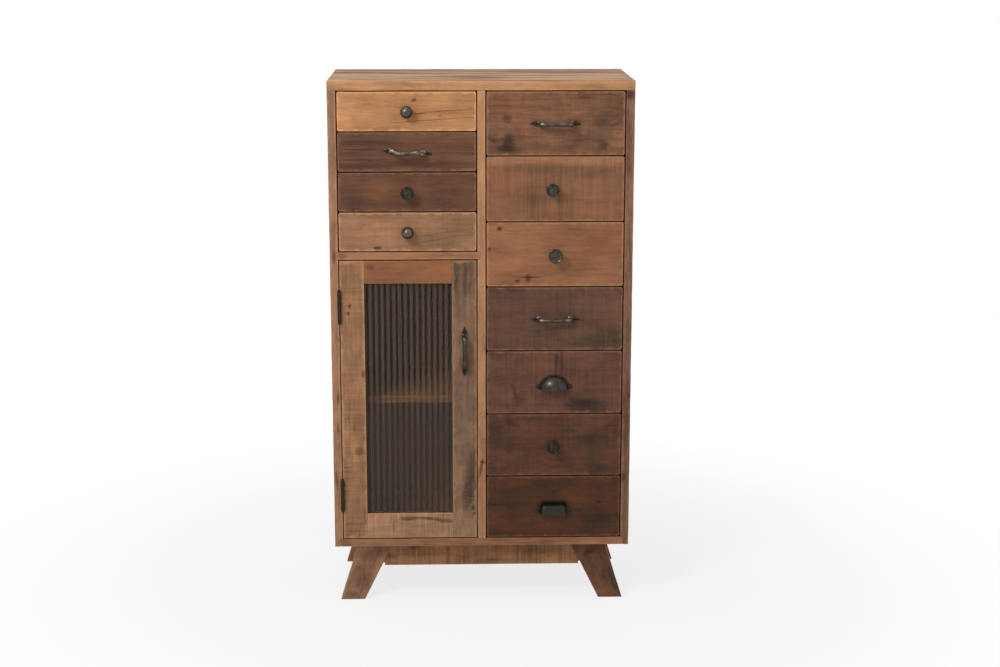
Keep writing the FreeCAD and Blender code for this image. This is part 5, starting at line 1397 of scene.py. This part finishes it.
def square_cup(bm, centre, wall):
    """A hood with sloping sides and rounded corners on a flange with its upper corners cut round."""
    thickness, height, foot, crown = 2.2 * MM, 29 * MM, 86 * MM, 66 * MM
    reach = 22 * MM
    widths = {(False, False): 67 * MM, (False, True): 62 * MM, (True, False): 60 * MM,
              (True, True): 53 * MM}
    heights = {False: 27 * MM, True: 22.5 * MM}
    hood = bmesh.ops.create_cube(bm, size=1)
    for vert in hood["verts"]:
        out, upper = vert.co.y < 0, vert.co.z > 0
        vert.co = centre + Vector((widths[out, upper] * vert.co.x, -reach if out else 0,
                                   heights[out] if upper else 0))
    open_faces = [face for face in bm.faces
                  if all(vert.co.z <= centre.z + 1e-6 for vert in face.verts)
                  or all(vert.co.y >= centre.y - 1e-6 for vert in face.verts)]
    bmesh.ops.delete(bm, geom=open_faces, context="FACES")
    inner = [edge for edge in bm.edges if not edge.is_boundary]
    bmesh.ops.bevel(bm, geom=inner, offset=7 * MM, offset_type="OFFSET", segments=6, profile=0.5,
                    affect="EDGES", material=-1)
    bmesh.ops.recalc_face_normals(bm, faces=bm.faces)
    bmesh.ops.solidify(bm, geom=bm.faces[:], thickness=wall)
    before = set(bm.verts)
    bmesh.ops.create_cube(bm, size=1)
    flange = [vert for vert in bm.verts if vert not in before]
    for vert in flange:
        width = crown if vert.co.z > 0 else foot
        vert.co = centre + Vector((width * vert.co.x, -thickness if vert.co.y < 0 else 0,
                                   height if vert.co.z > 0 else 0))
    corners = [edge for edge in bm.edges if edge.verts[0] in flange and edge.verts[1] in flange
               and abs(edge.verts[0].co.y - edge.verts[1].co.y) > thickness / 2
               and edge.verts[0].co.z > centre.z + height / 2]
    bmesh.ops.bevel(bm, geom=corners, offset=9 * MM, offset_type="OFFSET", segments=6,
                    profile=0.5, affect="EDGES", material=-1)


class HUTCH_OT_cups(bpy.types.Operator):
    """Makes the round and the square cup pull"""
    bl_idname = "hutch.cups"
    bl_label = "Cup pulls"

    def execute(self, context):
        iron = bpy.data.materials["Blackened cast iron"]
        wall = context.scene.hutch_sizes.cup_wall
        cups = (("right_drawer_5", round_cup, 0.11), ("right_drawer_7", square_cup, 0.03))
        for drawer, make, bright in cups:
            low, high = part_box(drawer + "_pull")
            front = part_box(drawer + "_front")[0].y
            lift = CUP_LIFT * MM if make is round_cup else 0
            centre = Vector(((low.x + high.x) / 2, front, low.z + lift))
            bm = bmesh.new()
            make(bm, centre, wall)
            bmesh.ops.recalc_face_normals(bm, faces=bm.faces)
            rub_and_highlight(bm, lambda middle, normal: bright * (0.4 - 0.6 * normal.y)
                * (middle.y < front - 4 * MM))
            cup_screws(bm, [(centre.x + x * MM, centre.z + z * MM)
                            for x, z in CUP_SCREWS[drawer]], front)
            make_piece(drawer + "_cup", bm, [iron], drawer, [drawer + "_pull"],
                       smooth=45)
        return {"FINISHED"}


class HUTCH_OT_door(bpy.types.Operator):
    """Makes the frame of the door"""
    bl_idname = "hutch.door"
    bl_label = "Door frame"

    def execute(self, context):
        low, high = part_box("door_rails")
        halfway = (low.z + high.z) / 2
        board("door_stile_hinge_board", "door_stile_hinge", DOOR_LOOKS["door_stile_hinge"], 80,
              "z")
        board("door_stile_latch_board", "door_stile_latch", DOOR_LOOKS["door_stile_latch"], 81,
              "z")
        board("door_rail_top_board", "door_rails", DOOR_LOOKS["door_rail_top"], 82,
              "x", keep=lambda middle: middle.z > halfway, edged=False)
        board("door_rail_low_board", "door_rails", DOOR_LOOKS["door_rail_low"], 83,
              "x", keep=lambda middle: middle.z < halfway, edged=False)
        bead = pine("Pine beads", INSIDE_LOOK, 84, (0, 0, 0), grain="z")
        dress("glass_beads", bead)
        return {"FINISHED"}


class HUTCH_OT_glass(bpy.types.Operator):
    """Makes the pane with its sixteen reeds"""
    bl_idname = "hutch.glass"
    bl_label = "Reeded glass"

    def execute(self, context):
        low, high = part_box("door_glass")
        size = high - low
        bm = bmesh.new()
        bmesh.ops.create_grid(bm, x_segments=REEDS * REED_STEPS, y_segments=1, size=0.5)
        for vert in bm.verts:
            wave = abs(math.sin(math.pi * REEDS * (vert.co.x + 0.5)))
            vert.co = Vector((low.x + size.x * (vert.co.x + 0.5),
                              low.y + REED_DEPTH * MM * (1 - wave),
                              low.z + size.z * (vert.co.y + 0.5)))
        behind = bmesh.ops.extrude_face_region(bm, geom=bm.faces[:], use_keep_orig=True)
        for item in behind["geom"]:
            if isinstance(item, bmesh.types.BMVert):
                item.co.y = high.y
        make_piece("door_pane", bm, [reeded_glass()], "door", ["door_glass"],
                   smooth=60)
        return {"FINISHED"}


class HUTCH_OT_fittings(bpy.types.Operator):
    """Dresses the hinges and the catch"""
    bl_idname = "hutch.fittings"
    bl_label = "Hinges and catch"

    def execute(self, context):
        iron = bpy.data.materials["Blackened cast iron"]
        for node in ("hinge_frame_leaves", "hinge_door_leaves", "hinge_pins"):
            dress(node, iron)
        dress("door_catch", catch_plastic())
        dress("catch_plate", bpy.data.materials["Pressed steel"])
        return {"FINISHED"}


class HUTCH_OT_stage(bpy.types.Operator):
    """Sets up the camera, the lamps and the floor"""
    bl_idname = "hutch.stage"
    bl_label = "Stage"

    def execute(self, context):
        scene = context.scene
        stage = scene.hutch_stage
        scene.view_settings.view_transform = "Standard"
        place_camera(scene, stage)
        light_up(scene, stage)
        lay_floor(scene, stage)
        return {"FINISHED"}


def place_camera(scene, stage):
    """The camera of the photograph, looking a little down and almost straight at the front."""
    data = bpy.data.cameras.new("Camera")
    data.sensor_fit = "HORIZONTAL"
    data.sensor_width = 36
    data.lens = stage.focal_pixels / PHOTO_WIDTH * data.sensor_width
    data.clip_end = 500
    camera = bpy.data.objects.new("Camera", data)
    scene.collection.objects.link(camera)
    yaw, pitch = stage.camera_yaw, stage.camera_pitch
    forward = Vector((math.sin(yaw) * math.cos(pitch), math.cos(yaw) * math.cos(pitch),
                      -math.sin(pitch)))
    right = Vector((math.cos(yaw), -math.sin(yaw), 0))
    up = right.cross(forward)
    turn = Matrix((right, up, -forward)).transposed().to_4x4()
    camera.matrix_world = (Matrix.Translation(stage.camera_place) @ turn
                           @ Matrix.Rotation(stage.camera_roll, 4, "Z"))
    scene.camera = camera


def light_up(scene, stage):
    """A soft key lamp at the upper left, in front, and an even light from all round. What the
    camera, metal and glass see beyond the floor is plain white."""
    data = bpy.data.lights.new("Key", "AREA")
    data.shape = "DISK"
    data.size = 1.1
    data.energy = stage.key_power
    lamp = bpy.data.objects.new("Key", data)
    lamp.location = (-1.7, -2.6, 2.9)
    lamp.rotation_euler = (Vector((0, 0, 0.75)) - lamp.location).to_track_quat("-Z", "Y").to_euler()
    scene.collection.objects.link(lamp)
    world = bpy.data.worlds.new("Studio")
    scene.world = world
    world.use_nodes = True
    tree = world.node_tree
    tree.nodes.clear()
    seen = seen_directly(tree)
    strength = add(tree, "ShaderNodeMapRange", [seen, 0.0, 1.0, stage.fill_level, 1.0])
    light = add(tree, "ShaderNodeBackground", {"Color": (1, 1, 1, 1), "Strength": strength})
    add(tree, "ShaderNodeOutputWorld", {"Surface": light})


def seen_directly(tree):
    """1 for rays from the camera and for those that metal or glass send on."""
    path = add(tree, "ShaderNodeLightPath")
    either = add(tree, "ShaderNodeMath", [path.outputs["Is Camera Ray"],
                                          path.outputs["Is Glossy Ray"]], operation="MAXIMUM")
    return add(tree, "ShaderNodeMath", [either, path.outputs["Is Transmission Ray"]],
               operation="MAXIMUM")


FLOOR_HALF = 120
FLOOR_BELOW = 0.1 * MM
SHADOW_NEAR = 0.55
SHADOW_FAR = 1.5
SHADOW_SHARE = 0.22


def lay_floor(scene, stage):
    """A pale floor that holds a light soft shadow and turns to plain white further off."""
    bm = bmesh.new()
    bmesh.ops.create_grid(bm, x_segments=1, y_segments=1, size=FLOOR_HALF,
                          matrix=Matrix.Translation((0, 0, -FLOOR_BELOW)))
    mesh = bpy.data.meshes.new("Floor")
    bm.to_mesh(mesh)
    bm.free()
    material = bpy.data.materials.new("Matt studio floor")
    material.use_nodes = True
    tree = material.node_tree
    tree.nodes.clear()
    place = add(tree, "ShaderNodeTexCoord").outputs["Object"]
    distance = add(tree, "ShaderNodeVectorMath", [place], operation="LENGTH")
    far = add(tree, "ShaderNodeMapRange",
              [distance, SHADOW_NEAR, SHADOW_FAR, 1 - SHADOW_SHARE, 1.0],
              interpolation_type="SMOOTHSTEP")
    white = add(tree, "ShaderNodeMath", [far, seen_directly(tree)], operation="MULTIPLY")
    lit = add(tree, "ShaderNodeBsdfDiffuse", {"Color": tuple(stage.floor)})
    plain = add(tree, "ShaderNodeEmission", {"Color": (1, 1, 1, 1), "Strength": 1.0})
    both = add(tree, "ShaderNodeMixShader", [white, lit, plain])
    add(tree, "ShaderNodeOutputMaterial", {"Surface": both})
    mesh.materials.append(material)
    floor = bpy.data.objects.new("Floor", mesh)
    scene.collection.objects.link(floor)


STEPS = (HUTCH_OT_case, HUTCH_OT_inside, HUTCH_OT_base, HUTCH_OT_fronts, HUTCH_OT_boxes,
         HUTCH_OT_knobs, HUTCH_OT_bows, HUTCH_OT_cups, HUTCH_OT_door, HUTCH_OT_glass,
         HUTCH_OT_fittings, HUTCH_OT_stage)


class HUTCH_PT_panel(bpy.types.Panel):
    """Lists the steps that make the hutch"""
    bl_idname = "HUTCH_PT_panel"
    bl_label = "Reclaimed pine hutch"
    bl_space_type = "VIEW_3D"
    bl_region_type = "UI"
    bl_category = "Hutch"

    def draw(self, context):
        for step in STEPS:
            self.layout.operator(step.bl_idname)


SETTINGS = {"hutch_pine": HutchPine, "hutch_fittings": HutchFittings, "hutch_sizes": HutchSizes,
            "hutch_stage": HutchStage}


def register():
    for kind in (*SETTINGS.values(), *STEPS, HUTCH_PT_panel):
        bpy.utils.register_class(kind)
    for name, kind in SETTINGS.items():
        setattr(bpy.types.Scene, name, bpy.props.PointerProperty(type=kind))


def unregister():
    for name in SETTINGS:
        delattr(bpy.types.Scene, name)
    for kind in reversed((*SETTINGS.values(), *STEPS, HUTCH_PT_panel)):
        bpy.utils.unregister_class(kind)


def main():
    """Builds the whole hutch in order."""
    register()
    for make_group in (pine_figure, board_spot, edge_wear):
        make_group()
    antique_iron()
    for step in STEPS:
        area, name = step.bl_idname.split(".")
        getattr(getattr(bpy.ops, area), name)()


if __name__ == "__main__":
    main()
